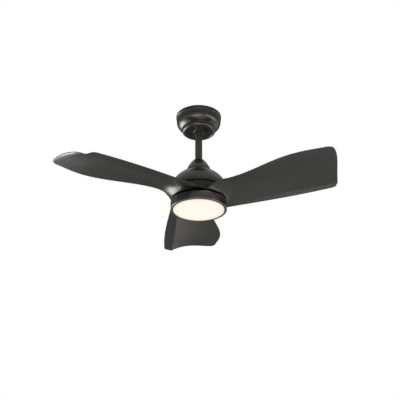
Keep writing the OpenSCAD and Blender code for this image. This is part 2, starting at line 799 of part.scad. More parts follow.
module led_chips() {
    color("khaki") for (ring = [1:3], k = [0:ring * 8 - 1])
        rotate([0, 0, (k + 0.5) * 360 / (ring * 8)]) translate([ring * (lens_r - 20) / 3 - 1.7, -1.4, z_led - led_t - 0.8])
            cube([3.5, 2.8, 0.8]);
}

// Opal cover: a flat face under the ledge, a skirt through it, and three lugs that rest on it
module diffuser() {
    r = throat_r - lens_gap;
    lug_z = z_ledge + lamp_t + seat_gap;
    skirt_h = lug_z + lug_t - z_lamp_bottom;
    color(opal) {
        difference() {
            union() {
                translate([0, 0, z_lamp_bottom]) cylinder(r = lens_r - lens_gap, h = lens_t);
                translate([0, 0, z_lamp_bottom]) cylinder(r = r, h = skirt_h);
            }
            translate([0, 0, z_lamp_bottom + lens_t]) cylinder(r = r - 2, h = skirt_h);
        }
        for (turn = [0:120:240]) rotate([0, 0, turn - lug_angle / 2]) translate([0, 0, lug_z])
            rotate_extrude(angle = lug_angle) translate([r - 1, 0]) square([lug_reach + 1, lug_t]);
    }
}

// ---- Blades ----

blade_screw_d = 5;
blade_screw_r = rotor_r - 16;
seam_half = 1;                               // half of the gap between two blade roots
seam_turn = atan(seam_half / hub_r);
lead_seam = 74.6 - seam_turn;                // ends of a blade's third of the hub wall
trail_seam = 74.6 - 120 + seam_turn;
crease_seam = 50;
root_lead = lead_seam - 0.2;                 // ends of the skin, just inside the hub wall's ends
root_trail = trail_seam + 0.2;
wall_t = 3;

function on_hub(a) = hub_r * [cos(a), sin(a)];
function along_hub(a) = [-sin(a), cos(a)];

// Blade curves in plan: distance along the blade, then offset towards the leading side.
// Each is four cubic spans: root, inner half, outer half and tip corner.
reach = sweep_r - hub_r;
tip_x = sqrt(pow(sweep_r, 2) - pow(belly_offset * 0.72, 2));
function out(share) = hub_r + share * reach;

waist_x = out(0.10);
belly_x = out(0.70);
trail_edge = [
    on_hub(root_trail),
    on_hub(root_trail) + 14 * along_hub(root_trail),
    [waist_x - 26, -waist_offset - 4],
    [waist_x, -waist_offset],
    [waist_x + reach * 0.2, -waist_offset + 1],
    [belly_x - reach * 0.2, -belly_offset],
    [belly_x, -belly_offset],
    [belly_x + reach * 0.1, -belly_offset],
    [tip_x - tip_round * 2, -belly_offset + 10],
    [tip_x - tip_round, -belly_offset + 15],
    [tip_x - tip_round * 0.4, -belly_offset + 17],
    [tip_x + 1, -belly_offset + 12 + tip_round * 0.45],
    [tip_x + 1, -belly_offset + 12 + tip_round]
];
strip_tip_x = tip_x - 46;
crease_v = lead_offset - strip_w;
crease = [
    on_hub(crease_seam),
    on_hub(crease_seam) + [22, 0],
    [out(0.03), crease_v - 25],
    [out(0.08), crease_v - 24.5],
    [out(0.28), crease_v - 22],
    [out(0.48), crease_v - 18],
    [out(0.68), crease_v - 9],
    [out(0.73), crease_v - 7],
    [out(0.78), crease_v - 5],
    [strip_tip_x - 14, crease_v - 3],
    [strip_tip_x - 9, crease_v - 2],
    [strip_tip_x - 4, crease_v - 1.5],
    [strip_tip_x, crease_v - 1]
];
lead_edge = [
    on_hub(root_lead),
    on_hub(root_lead) + [22, 2],
    [out(0.01) - 20, lead_offset - 27.5],
    [out(0.03), lead_offset - 25],
    [out(0.23), lead_offset - 13.5],
    [out(0.43), lead_offset - 4],
    [out(0.63), lead_offset - 1],
    [out(0.69), lead_offset],
    [out(0.75), lead_offset],
    [strip_tip_x - 32, lead_offset],
    [strip_tip_x - 22, lead_offset],
    [strip_tip_x - 15, lead_offset - 3],
    [strip_tip_x - 11, lead_offset - 12]
];

// Share of the length at which each span ends
spans = [0, 0.2, 0.56, 0.86, 1];

// Point of a four-span edge at share s of its length
function edge_at(edge, s) =
    let (k = s < spans[1] ? 0 : s < spans[2] ? 1 : s < spans[3] ? 2 : 3)
    cubic([for (i = [0:3]) edge[3 * k + i]], (s - spans[k]) / (spans[k + 1] - spans[k]));

// Patch between two edges, whose ends follow the hub and the tip
function between(edge_a, edge_b, root, tip, s, t) =
    (1 - t) * edge_at(edge_a, s) + t * edge_at(edge_b, s)
    + (1 - s) * (root - (1 - t) * edge_a[0] - t * edge_b[0])
    + s * (tip - (1 - t) * edge_a[12] - t * edge_b[12]);

// Tip outline between the crease and the trailing corner
function tip_at(t) = cubic([crease[12], crease[12] + [20, -58], trail_edge[12] + [0, 52], trail_edge[12]], t);

// Plan position of column c (0 at the leading edge, 1 at the crease, 2 at the trailing edge)
function plan(s, c) =
    c <= 1
    ? between(lead_edge, crease, on_hub(root_lead + (crease_seam - root_lead) * c),
              lead_edge[12] + (crease[12] - lead_edge[12]) * c, s, c)
    : between(crease, trail_edge, on_hub(crease_seam + (root_trail - crease_seam) * (c - 1)),
              tip_at(c - 1), s, c - 1);

// Thickness, which thins towards both edges and the tip
function thick(s, c) = edge_t + (blade_t - edge_t) * (1 - pow(c - 1, 2)) * (1 - pow(s, 8));

// Height of the blade over the strip's level: a curve that is steep at the crease
function camber(s, c) =
    let (rise = (root_rise + (tip_rise - root_rise) * s) * (1 - root_ramp * pow(max(0, 1 - s / 0.16), 2)))
    c <= 1 ? 0 : rise * (1 - pow(2 - c, 1.7 + 1.3 * s));

// Share of the camber that the skirt at the hub takes away from the underside
function skirt(p) =
    let (
        a = atan2(p[1], p[0]),
        width = 32 + 16 * max(0, min(1, (a - trail_seam) / (crease_seam - trail_seam))),
        t = max(0, min(1, 1 - (norm(p) - hub_r) / width))
    )
    0.65 * (1 - sqrt(1 - t * t));

rows = concat(
    [for (i = [0:5]) i / 5 * spans[1]],
    [for (i = [1:5]) spans[1] + i / 5 * (spans[2] - spans[1])],
    [for (i = [1:4]) spans[2] + i / 4 * (spans[3] - spans[2])],
    [for (i = [1:5]) spans[3] + i / 5 * (spans[4] - spans[3])]
);
columns = concat([0, 0.5], [for (i = [0:8]) 1 + i / 8]);

// Closed skin of a blade outside the hub wall
module blade_skin() {
    n = len(rows);
    m = len(columns);
    plan_points = [for (s = rows, c = columns) plan(s, c)];
    sunk = [for (k = [0:n * m - 1])
        k < m ? plan_points[k] * (1 - wall_t / 2 / hub_r) : plan_points[k]];
    lift = [for (s = rows, c = columns) camber(s, c)];
    lower = [for (k = [0:n * m - 1]) [sunk[k][0], sunk[k][1], lift[k] * (1 - skirt(plan_points[k]))]];
    depth = [for (s = rows, c = columns) thick(s, c)];
    upper = [for (k = [0:n * m - 1]) [sunk[k][0], sunk[k][1], lift[k] + depth[k]]];
    quads = [for (i = [0:n - 2], j = [0:m - 2]) [i * m + j, i * m + j + 1, (i + 1) * m + j + 1, (i + 1) * m + j]];
    border = concat(
        [for (j = [0:m - 2]) [j, j + 1]],
        [for (i = [0:n - 2]) [i * m + m - 1, (i + 1) * m + m - 1]],
        [for (j = [m - 1:-1:1]) [(n - 1) * m + j, (n - 1) * m + j - 1]],
        [for (i = [n - 1:-1:1]) [i * m, (i - 1) * m]]
    );
    polyhedron(
        points = concat(lower, upper),
        faces = concat(
            [for (q = quads) [q[0], q[1], q[2]]],
            [for (q = quads) [q[0], q[2], q[3]]],
            [for (q = quads) [q[2] + n * m, q[1] + n * m, q[0] + n * m]],
            [for (q = quads) [q[3] + n * m, q[2] + n * m, q[0] + n * m]],
            [for (e = border) [e[1], e[0], e[0] + n * m]],
            [for (e = border) [e[1], e[0] + n * m, e[1] + n * m]]
        )
    );
}

module each_blade() {
    for (k = [0:2]) rotate([0, 0, blade_azimuth + 120 * k]) children();
}

// Two screws hold each blade root to the rotor
module each_blade_screw() {
    each_blade() for (a = [-15, 45]) rotate([0, 0, a]) translate([blade_screw_r, 0, 0]) children();
}

// A blade in one piece with its third of the hub wall and its inner flange
module blade(k) {
    turn = lead_seam - trail_seam;
    rotate([0, 0, blade_azimuth + 120 * k]) difference() {
        union() {
            translate([0, 0, z_hub_bottom]) blade_skin();
            rotate([0, 0, trail_seam]) translate([0, 0, z_hub_bottom])
                rotate_extrude(angle = turn) translate([hub_r - wall_t, 0]) square([wall_t, hub_h]);
            rotate([0, 0, trail_seam]) translate([0, 0, z_hub_bottom + blade_flange_drop])
                rotate_extrude(angle = turn) translate([blade_screw_r - 12, 0])
                    square([hub_r - wall_t - blade_screw_r + 12.5, blade_flange_t]);
        }
        for (a = [-15, 45]) rotate([0, 0, a]) translate([blade_screw_r, 0, z_hub_bottom])
            cylinder(d = blade_screw_d + 0.4, h = 12);
    }
}

module blade_1() {
    color(charcoal) blade(0);
}

module blade_2() {
    color(charcoal) blade(1);
}

module blade_3() {
    color(charcoal) blade(2);
}

module blade_screws() {
    color(steel) each_blade_screw()
        translate([0, 0, z_hub_bottom + blade_flange_drop]) screw_up(blade_screw_d, blade_flange_t + shell_t + 1, 9, 2.6);
}

ceiling_bracket();
canopy();
canopy_screws();
receiver();
terminal_block();
terminal_screws();
ground_screw();
ball_pin();
hanger_ball();
ball_set_screw();
downrod();
lead_cable();
motor_coupling();
coupling_pin();
coupling_pin_clip();
coupling_set_screws();
coupling_cover();
dome_cover();
dome_screws();
controller_board();
controller_parts();
board_spacers();
motor_shaft();
stator_core();
stator_windings();
upper_bearing_inner();
lower_bearing_inner();
shaft_spacer();
lamp_plate();
shaft_nut();
lamp_housing();
lamp_screws();
led_standoffs();
led_board();
led_screws();
led_chips();
rotor_upper_shell();
rotor_lower_shell();
flux_ring();
rotor_magnets();
rotor_screws();
upper_bearing_outer();
upper_bearing_balls();
lower_bearing_outer();
lower_bearing_balls();
blade_1();
blade_2();
blade_3();
blade_screws();
diffuser();
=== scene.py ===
import json
import math

import bmesh
import bpy
import numpy as np
from bpy.props import FloatProperty, FloatVectorProperty, PointerProperty
from mathutils import Matrix, Vector


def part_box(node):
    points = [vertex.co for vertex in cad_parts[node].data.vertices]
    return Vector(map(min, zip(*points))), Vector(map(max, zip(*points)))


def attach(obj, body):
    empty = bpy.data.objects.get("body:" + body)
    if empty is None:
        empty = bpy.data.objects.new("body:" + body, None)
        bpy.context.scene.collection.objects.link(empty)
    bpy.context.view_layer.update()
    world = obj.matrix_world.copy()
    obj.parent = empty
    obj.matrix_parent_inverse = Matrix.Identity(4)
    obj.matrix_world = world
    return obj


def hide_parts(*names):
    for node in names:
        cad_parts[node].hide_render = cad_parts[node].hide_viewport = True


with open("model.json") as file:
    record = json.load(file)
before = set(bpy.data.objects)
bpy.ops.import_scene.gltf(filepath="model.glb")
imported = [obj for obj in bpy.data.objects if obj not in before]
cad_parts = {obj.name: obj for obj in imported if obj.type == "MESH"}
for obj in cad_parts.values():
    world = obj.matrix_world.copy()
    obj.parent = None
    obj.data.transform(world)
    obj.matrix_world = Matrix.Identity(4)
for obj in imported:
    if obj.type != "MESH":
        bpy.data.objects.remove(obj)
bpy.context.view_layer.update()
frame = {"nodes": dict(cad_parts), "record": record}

bl_info = {
    "name": "Ceiling Fan With Light",
    "version": (1, 0, 0),
    "blender": (4, 5, 0),
    "location": "View3D > Sidebar > Ceiling Fan",
    "description": "Builds the pieces and finishes of a three-blade ceiling fan around its packed frame",
    "category": "Object",
}

MM = 0.001                        # outlines and blade curves are in millimetres
ROUND_STEPS = 160                 # divisions round a large turned piece
HOLE_STEPS = 48                   # divisions round a drilled hole
FILLET_STEPS = 5                  # divisions of a fillet in an outline
ROLL_ANGLES = (0.8, 1.57, 2.35)   # radians at which points round the edge of a sheet
ROLL_BULGE = 0.7                  # how far that edge stands out, as a share of half the sheet
MITRE_LIMIT = 0.3                 # keeps an outline that is moved sideways from spiking at a corner
TOUCHING = 1e-9                   # millimetres under which two points of an outline are one
WELD = 2e-6                       # points that lie closer than this many metres become one
SHARP_ANGLE = math.radians(32)    # two faces that meet at more than this keep a sharp edge
THIRD = 120                       # degrees between things that come three to a turn
THREE_WAYS = (0, THIRD, 2 * THIRD)


def top(node):
    """Height of a frame node's highest point, in millimetres."""
    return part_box(node)[1].z / MM


def bottom(node):
    """Height of a frame node's lowest point, in millimetres."""
    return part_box(node)[0].z / MM


def radius(node):
    """Radius of a round frame node on the rod's axis, in millimetres."""
    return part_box(node)[1].x / MM


# ---- Sizes, colours and light that a user would change ----


class FanSizes(bpy.types.PropertyGroup):
    """Sizes of the fan that its frame doesn't state."""

    canopy_sheet: FloatProperty(
        name="Canopy Sheet", description="Sheet thickness of the canopy", default=0.0011, unit="LENGTH",
    )
    cover_sheet: FloatProperty(
        name="Cover Sheet", description="Sheet thickness of the bell and the dome",
        default=0.0015, unit="LENGTH",
    )
    plate_radius: FloatProperty(
        name="Canopy Plate", description="Radius of the flat plate under the canopy",
        default=0.053, unit="LENGTH",
    )
    tier_height: FloatProperty(
        name="Canopy Tier", description="Height of the smaller tier under the canopy's bowl",
        default=0.017, unit="LENGTH",
    )
    rod_wall: FloatProperty(
        name="Rod Wall", description="Wall of the rod", default=0.0015, unit="LENGTH",
    )
    bell_foot: FloatProperty(
        name="Bell Foot", description="Radius of the bell where it stands on the dome",
        default=0.0445, unit="LENGTH",
    )
    bell_neck: FloatProperty(
        name="Bell Neck", description="Radius of the bell where it closes on the rod",
        default=0.0165, unit="LENGTH",
    )
    lip_width: FloatProperty(
        name="Lip Width", description="Width of the ring's lip round the diffuser",
        default=0.009, unit="LENGTH",
    )
    ring_sheet: FloatProperty(
        name="Ring Sheet", description="Sheet thickness of the light's ring", default=0.0015, unit="LENGTH",
    )
    hub_wall: FloatProperty(
        name="Hub Wall", description="Height of the hub wall that the blade roots form",
        default=0.033, unit="LENGTH",
    )
    seam: FloatProperty(
        name="Root Seam", description="Gap between two blade roots", default=0.002, unit="LENGTH",
    )
    sweep_radius: FloatProperty(
        name="Sweep Radius", description="Radius of the circle that the blade tips sweep",
        default=0.533, unit="LENGTH",
    )
    blade_azimuth: FloatProperty(
        name="Blade Direction", description="Direction of the first blade",
        default=math.radians(-28.6), subtype="ANGLE",
    )
    lead_offset: FloatProperty(
        name="Leading Offset", description="Offset of the leading edge from the blade's own axis",
        default=0.130, unit="LENGTH",
    )
    strip_width: FloatProperty(
        name="Strip Width", description="Width of the flat strip along the leading edge",
        default=0.028, unit="LENGTH",
    )
    waist_offset: FloatProperty(
        name="Waist Offset", description="Offset of the trailing edge at its narrowest",
        default=0.050, unit="LENGTH",
    )
    belly_offset: FloatProperty(
        name="Belly Offset", description="Offset of the trailing edge at its widest",
        default=0.097, unit="LENGTH",
    )
    root_rise: FloatProperty(
        name="Root Rise", description="Height of the trailing edge over the strip at the hub",
        default=0.029, unit="LENGTH",
    )
    root_ramp: FloatProperty(
        name="Root Ramp", description="Share of the rise that the trailing edge gives up at the hub",
        default=0.7, subtype="FACTOR",
    )
    tip_rise: FloatProperty(
        name="Tip Rise", description="Height of the trailing edge over the strip at the tip",
        default=0.041, unit="LENGTH",
    )
    blade_thickness: FloatProperty(
        name="Blade Thickness", description="Thickness of a blade in the middle",
        default=0.005, unit="LENGTH",
    )
    edge_thickness: FloatProperty(
        name="Edge Thickness", description="Thickness of a blade at its edges", default=0.0025, unit="LENGTH",
    )
    tip_round: FloatProperty(
        name="Tip Round", description="Radius of the tip's trailing corner", default=0.026, unit="LENGTH",
    )


class FanFinishes(bpy.types.PropertyGroup):
    """Colours and gloss of the visible pieces."""

    coat: FloatVectorProperty(
        name="Coat", description="Powder coat of the canopy, bell and dome",
        default=(0.0088, 0.0086, 0.0073), size=3, subtype="COLOR", min=0, max=1,
    )
    rod_coat: FloatVectorProperty(
        name="Rod Coat", description="Powder coat of the rod",
        default=(0.015, 0.0147, 0.0126), size=3, subtype="COLOR", min=0, max=1,
    )
    coat_roughness: FloatProperty(
        name="Coat Roughness", description="Roughness of the powder coat",
        default=0.27, subtype="FACTOR", min=0, max=1,
    )
    plastic: FloatVectorProperty(
        name="Blade Plastic", description="Moulded plastic of the blades",
        default=(0.0065, 0.0064, 0.0056), size=3, subtype="COLOR", min=0, max=1,
    )
    plastic_roughness: FloatProperty(
        name="Plastic Roughness", description="Roughness of the blades",
        default=0.3, subtype="FACTOR", min=0, max=1,
    )
    ring: FloatVectorProperty(
        name="Ring", description="Bronze-black metallic coat of the light's ring",
        default=(0.14, 0.13, 0.12), size=3, subtype="COLOR", min=0, max=1,
    )
    ring_roughness: FloatProperty(
        name="Ring Roughness", description="Roughness of the light's ring",
        default=0.24, subtype="FACTOR", min=0, max=1,
    )
    light: FloatVectorProperty(
        name="Light", description="Colour of the lit diffuser",
        default=(0.97, 0.89, 0.79), size=3, subtype="COLOR", min=0, max=1,
    )
    light_strength: FloatProperty(
        name="Light Strength", description="Brightness of the lit diffuser", default=1.0, min=0,
    )


class FanStudio(bpy.types.PropertyGroup):
    """Camera and light of the studio."""

    lens: FloatProperty(
        name="Lens", description="Focal length of the camera in millimetres",
        default=69.2, unit="CAMERA", min=1,
    )
    distance: FloatProperty(
        name="Distance", description="Distance of the camera in front of the rod",
        default=2.4697, unit="LENGTH",
    )
    camera_height: FloatProperty(
        name="Camera Height", description="Height of the camera over the ceiling face",
        default=-1.5289, unit="LENGTH",
    )
    target_height: FloatProperty(
        name="Target Height", description="Height that the camera looks at", default=-0.3467, unit="LENGTH",
    )
    shift: FloatProperty(
        name="Shift", description="Sideways shift of the lens", default=0.00325,
    )
    floor_height: FloatProperty(
        name="Floor Height", description="Height of the floor over the ceiling face",
        default=-3.3, unit="LENGTH",
    )
    room: FloatProperty(
        name="Room Light", description="Brightness of the even light round the fan", default=0.9, min=0,
    )
    key_light: FloatProperty(
        name="Key Light", description="Brightness of the brightest softbox", default=12.0, min=0,
    )
    floor_glow: FloatProperty(
        name="Floor Light", description="Brightness that the floor adds of its own", default=0.2, min=0,
    )


# ---- Shader maths ----


class Wire:
    """An output of a shader node. Arithmetic on it adds Math nodes."""

    def __init__(self, nodes, socket):
        self.nodes = nodes
        self.socket = socket

    def maths(self, operation, *values):
        return self.nodes.node("ShaderNodeMath", {"operation": operation}, dict(enumerate(values)))

    def __add__(self, other):
        return self.maths("ADD", self, other)

    def __radd__(self, other):
        return self.maths("ADD", other, self)

    def __sub__(self, other):
        return self.maths("SUBTRACT", self, other)

    def __rsub__(self, other):
        return self.maths("SUBTRACT", other, self)

    def __mul__(self, other):
        return self.maths("MULTIPLY", self, other)

    def __rmul__(self, other):
        return self.maths("MULTIPLY", other, self)

    def __truediv__(self, other):
        return self.maths("DIVIDE", self, other)

    def __rtruediv__(self, other):
        return self.maths("DIVIDE", other, self)

    def __pow__(self, other):
        return self.maths("POWER", self, other)

    def __rpow__(self, other):
        return self.maths("POWER", other, self)

    def __lt__(self, other):
        return self.maths("LESS_THAN", self, other)


def shade(colour, share):
    """A colour made darker or lighter, as a node takes it."""
    return (*(channel * share for channel in colour), 1.0)


class Nodes:
    """The nodes of a material or a world, which lead to its one shader."""

    def __init__(self, owner, kind):
        owner.use_nodes = True
        self.owner = owner
        self.tree = owner.node_tree
        self.shader = next(node for node in self.tree.nodes if node.type == kind)

    def node(self, kind, settings, sockets, output=0):
        """Adds a node: its settings first, then the values or links of its sockets."""
        made = self.tree.nodes.new(kind)
        for name, value in settings.items():
            if name == "stops":
                self.set_stops(made.color_ramp.elements, value)
            else:
                setattr(made, name, value)
        for name, value in sockets.items():
            if isinstance(value, Wire):
                self.tree.links.new(value.socket, made.inputs[name])
            else:
                made.inputs[name].default_value = value
        return Wire(self, made.outputs[output])

    def set_stops(self, stops, levels):
        """Gives a ramp its (position, colour) stops, in rising order."""
        while len(stops) < len(levels):
            stops.new(1)
        for stop, (position, colour) in zip(stops, levels):
            stop.position = position
            stop.color = colour

    def mix(self, share, first, second, blend="MIX"):
        """Colour between two colours."""
        settings = {"data_type": "RGBA", "blend_type": blend}
        return self.node("ShaderNodeMix", settings, {0: share, 6: first, 7: second}, 2)

    def feed(self, **wires):
        """Links what varies to the shader, and returns the material or world."""
        for socket, wire in wires.items():
            self.tree.links.new(wire.socket, self.shader.inputs[socket.replace("_", " ")])
        return self.owner


class Finish(Nodes):
    """A material round one principled shader. Its keywords are the shader's constant sockets."""

    def __init__(self, name, **constants):
        super().__init__(bpy.data.materials.new(name), "BSDF_PRINCIPLED")
        self.place = self.node("ShaderNodeTexCoord", {}, {}, "Object")
        for socket, value in constants.items():
            self.shader.inputs[socket.replace("_", " ")].default_value = value

    def scaled(self, shares):
        """Place on the piece, with a share for each axis."""
        return self.node("ShaderNodeVectorMath", {"operation": "MULTIPLY"}, {0: self.place, 1: shares})

    def grain(self, size, detail, stretch=(1, 1, 1)):
        """Noise from 0 to 1, with features of the given size in metres."""
        where = self.scaled(stretch)
        return self.node("ShaderNodeTexNoise", {}, {"Vector": where, "Scale": 1 / size, "Detail": detail})

    def cells(self, size, output="Distance"):
        """Cells of the given size in metres."""
        return self.node("ShaderNodeTexVoronoi", {}, {"Vector": self.place, "Scale": 1 / size}, output)

    def from_axis(self):
        """Distance from the rod's axis in metres."""
        flat = self.scaled((1, 1, 0))
        return self.node("ShaderNodeVectorMath", {"operation": "LENGTH"}, {0: flat}, "Value")

    def clamped(self, wire):
        """The wire's value, held between 0 and 1."""
        return self.node("ShaderNodeMath", {"operation": "ADD", "use_clamp": True}, {0: wire, 1: 0.0})

    def relief(self, height, depth, strength):
        """Bump whose height of 0 to 1 stands for a depth in metres."""
        return self.node("ShaderNodeBump", {}, {"Height": height, "Distance": depth, "Strength": strength})


def powder_coat(name, colour, roughness, metallic=0.0, level=0.5):
    """Satin powder coat: fine orange peel, faint clouds in colour and gloss, and a trace of dust.

    What the noise adds to the roughness on average is taken off again, as in every finish that is given one.
    """
    made = Finish(name, IOR=1.5, Metallic=metallic, Specular_IOR_Level=level)
    clouds = made.grain(0.05, 3)
    peel = made.grain(0.0011, 2)
    specks = made.grain(0.0004, 1)
    dust = made.clamped((made.grain(0.012, 5) - 0.6) * 2.5)
    tone = made.mix(clouds * 0.6 + specks * 0.4, shade(colour, 0.8), shade(colour, 1.2))
    return made.feed(
        Base_Color=made.mix(dust * 0.25, tone, (0.06, 0.06, 0.056, 1)),
        Roughness=clouds * 0.05 + peel * 0.04 + dust * 0.08 + (roughness - 0.045),
        Normal=made.relief(peel * 0.8 + specks * 0.2, 0.000006, 0.5),
    )


def moulded(name, colour, roughness, level=0.5):
    """Moulded plastic: fine spark-eroded texture, faint flow marks and a trace of dust."""
    made = Finish(name, IOR=1.47, Specular_IOR_Level=level)
    flow = made.grain(0.04, 3, (1, 1, 3))
    pits = made.cells(0.0008)
    fine = made.grain(0.00048, 2)
    dust = made.clamped((made.grain(0.02, 5) - 0.6) * 2)
    tone = made.mix(flow * 0.7 + fine * 0.3, shade(colour, 0.85), shade(colour, 1.15))
    return made.feed(
        Base_Color=made.mix(dust * 0.2, tone, shade(colour, 1.8)),
        Roughness=flow * 0.06 + fine * 0.05 + (roughness - 0.055),
        Normal=made.relief(pits * 0.7 + fine * 0.3, 0.000012, 0.5),
    )


def lit_opal(name, colour, strength, middle, rim):
    """Opal cover with lamps behind it, even in the middle and dimmer and warmer towards the rim."""
    made = Finish(name, Emission_Strength=strength, IOR=1.49, Specular_IOR_Level=0.2, Roughness=0.5)
    edge = made.clamped((made.from_axis() - middle) / (rim - middle)) ** 2.0
    haze = made.grain(0.03, 2)
    warm = (colour[0] * 0.88, colour[1] * 0.8, colour[2] * 0.68, 1.0)
    return made.feed(
        Base_Color=made.mix(haze, (0.02, 0.019, 0.017, 1), (0.03, 0.028, 0.025, 1)),
        Emission_Color=made.mix(edge, made.mix(haze * 0.3, shade(colour, 1), shade(colour, 0.97)), warm),
    )


def bare_metal(name, colour, roughness, marks=(1, 1, 1), spangle=0.0, metallic=1.0):
    """Metal with fine marks stretched along one way, and zinc spangle where it is plated."""
    made = Finish(name, Metallic=metallic)
    lines = made.grain(0.0005, 3, marks)
    clouds = made.grain(0.015, 3)
    tone = made.mix(lines * 0.5 + clouds * 0.5, shade(colour, 0.75), shade(colour, 1))
    if spangle:
        flake = made.node("ShaderNodeSeparateColor", {}, {0: made.cells(spangle, "Color")})
        tone = made.mix(flake * 0.35, tone, shade(colour, 0.6))
    return made.feed(
        Base_Color=tone,
        Roughness=lines * 0.12 + clouds * 0.12 + (roughness - 0.12),
        Normal=made.relief(lines, 0.00002, 0.5),
    )


def cast_metal(name, colour, roughness):
    """Casting with a pebbled skin and darker hollows."""
    made = Finish(name, Metallic=0.7)
    pebbles = made.grain(0.0014, 4)
    stains = made.grain(0.012, 3)
    return made.feed(
        Base_Color=made.mix(stains * 0.7 + pebbles * 0.3, shade(colour, 0.6), shade(colour, 1.15)),
        Roughness=pebbles * 0.2 + (roughness - 0.1),
        Normal=made.relief(pebbles, 0.00012, 0.7),
    )


def wound_wire(name, colour):
    """Enamelled winding: turns of wire side by side, with painted shade darkening the gaps between them."""
    made = Finish(name, Metallic=0.8)
    along = {"wave_type": "BANDS", "bands_direction": "Z", "wave_profile": "SIN"}
    layout = {"Vector": made.place, "Scale": 260.0, "Distortion": 0.6}
    turns = made.node("ShaderNodeTexWave", along, layout, "Fac")
    clouds = made.grain(0.008, 2)
    return made.feed(
        # The colour falls to 0.3 of the wire's in the gaps between turns: painted shade
        Base_Color=made.mix(turns * 0.7 + clouds * 0.3, shade(colour, 0.3), shade(colour, 1)),
        Roughness=clouds * 0.1 + 0.22,
        Normal=made.relief(turns, 0.0003, 0.8),
    )


def circuit_board(name, mask, pad):
    """Solder mask over tracks, with bare pads."""
    made = Finish(name)
    layout = {"Vector": made.place, "Scale": 120.0, "Mortar Size": 0.07}
    tracks = made.node("ShaderNodeTexBrick", {}, layout, "Fac")
    pads = made.cells(0.007) < 0.13
    blotch = made.grain(0.01, 2)
    board = made.mix(tracks * 0.6 + blotch * 0.4, shade(mask, 0.8), shade(mask, 1.25))
    return made.feed(
        Base_Color=made.mix(pads, board, shade(pad, 1)),
        Metallic=pads * 0.8,
        Roughness=blotch * 0.15 + 0.3,
        Normal=made.relief(tracks + pads, 0.00005, 0.5),
    )


def braided(name, colour):
    """Sleeve over the leads, woven on the slant."""
    made = Finish(name, Specular_IOR_Level=0.3)
    layout = {"Vector": made.place, "Scale": 350.0}
    weave = made.node("ShaderNodeTexWave", {"bands_direction": "DIAGONAL"}, layout, "Fac")
    fluff = made.grain(0.0006, 3)
    return made.feed(
        Base_Color=made.mix(weave * 0.6 + fluff * 0.4, shade(colour, 0.6), shade(colour, 1.5)),
        Roughness=fluff * 0.2 + 0.6,
        Normal=made.relief(weave, 0.0002, 0.7),
    )


def phosphor(name, colour):
    """Lamp chip: yellow phosphor in a pale frame, faintly lit."""
    made = Finish(name, Emission_Strength=0.6, Roughness=0.4)
    gel = made.grain(0.0008, 3)
    return made.feed(
        Base_Color=made.mix(gel, shade(colour, 0.85), shade(colour, 1.1)),
        Emission_Color=made.mix(gel, shade(colour, 0.9), shade(colour, 1)),
        Normal=made.relief(gel, 0.00005, 0.4),
    )


# ---- Outlines and meshes ----


def path(*points):
    """Points that can be added to and scaled."""
    return [np.array(point, float) for point in points]


def bezier(p, t):
    """Point at share t along a cubic curve with four control points."""
    u = 1 - t
    return u**3 * p[0] + 3 * u * u * t * p[1] + 3 * u * t * t * p[2] + t**3 * p[3]


def curve(points, steps=28):
    """Points along a cubic curve with four control points."""
    controls = path(*points)
    return [bezier(controls, k / steps) for k in range(steps + 1)]


def rounded(corners):
    """Outline through (radius, height, fillet) corners. One with no fillet stays as it is."""
    places = path(*(corner[:2] for corner in corners))
    outline = []
    for i, corner in enumerate(corners):
        fillet = corner[2] if len(corner) > 2 else 0
        if not fillet:
            outline.append(places[i])
            continue
        back = places[i - 1] - places[i]
        ahead = places[(i + 1) % len(places)] - places[i]
        back, ahead = back / np.linalg.norm(back), ahead / np.linalg.norm(ahead)
        half = math.acos(max(-1, min(1, float(back @ ahead)))) / 2
        middle = places[i] + (back + ahead) / np.linalg.norm(back + ahead) * fillet / math.sin(half)
        first = places[i] + back * fillet / math.tan(half) - middle
        last = places[i] + ahead * fillet / math.tan(half) - middle
        sweep = math.atan2(first[0] * last[1] - first[1] * last[0], float(first @ last))
        for k in range(FILLET_STEPS + 1):
            a = sweep * k / FILLET_STEPS
            turn = np.array([[math.cos(a), -math.sin(a)], [math.sin(a), math.cos(a)]])
            outline.append(middle + turn @ first)
    return outline


def offset(outline, distance, closed=False):
    """The outline moved sideways by a distance, to the right of its direction."""
    count = len(outline)
    aside = []
    for i, point in enumerate(outline):
        before = outline[i - 1] if closed or i else point
        after = outline[(i + 1) % count] if closed or i < count - 1 else point
        ways = [way for way in (point - before, after - point) if np.linalg.norm(way) > TOUCHING]
        ways = [way / np.linalg.norm(way) for way in ways]
        sides = [np.array([way[1], -way[0]]) for way in ways]
        side = sum(sides) / len(sides)
        aside.append(point + side * distance / max(MITRE_LIMIT, float(side @ side)))
    return aside


def sheet(outline, thickness, rolled=True):
    """Closed section of a sheet whose outer face follows the outline, with rolled or cut edges."""
    inner = offset(outline, thickness)
    if not rolled:
        return [*outline, *inner[::-1]]

    def roll(first, last, way):
        middle, spoke = (first + last) / 2, (first - last) / 2
        way = way / np.linalg.norm(way) * np.linalg.norm(spoke) * ROLL_BULGE
        return [middle + spoke * math.cos(a) + way * math.sin(a) for a in ROLL_ANGLES]

    far = roll(outline[-1], inner[-1], outline[-1] - outline[-2])
    near = roll(inner[0], outline[0], outline[0] - outline[1])
    return [*outline, *far, *inner[::-1], *near]


def built(name, points, faces):
    """Object from millimetre points, cleaned, with its faces outward and its corners sharp."""
    mesh = bpy.data.meshes.new(name)
    mesh.from_pydata([tuple(along * MM for along in point) for point in points], [], faces)
    form = bmesh.new()
    form.from_mesh(mesh)
    bmesh.ops.remove_doubles(form, verts=form.verts, dist=WELD)
    bmesh.ops.recalc_face_normals(form, faces=form.faces)
    form.to_mesh(mesh)
    form.free()
    piece = bpy.data.objects.new(name, mesh)
    bpy.context.scene.collection.objects.link(piece)
    return smoothed(piece)


def smoothed(piece):
    """Smooth faces, with a sharp edge where they meet steeply."""
    piece.data.shade_smooth()
    piece.data.set_sharp_from_angle(angle=SHARP_ANGLE)
    return piece


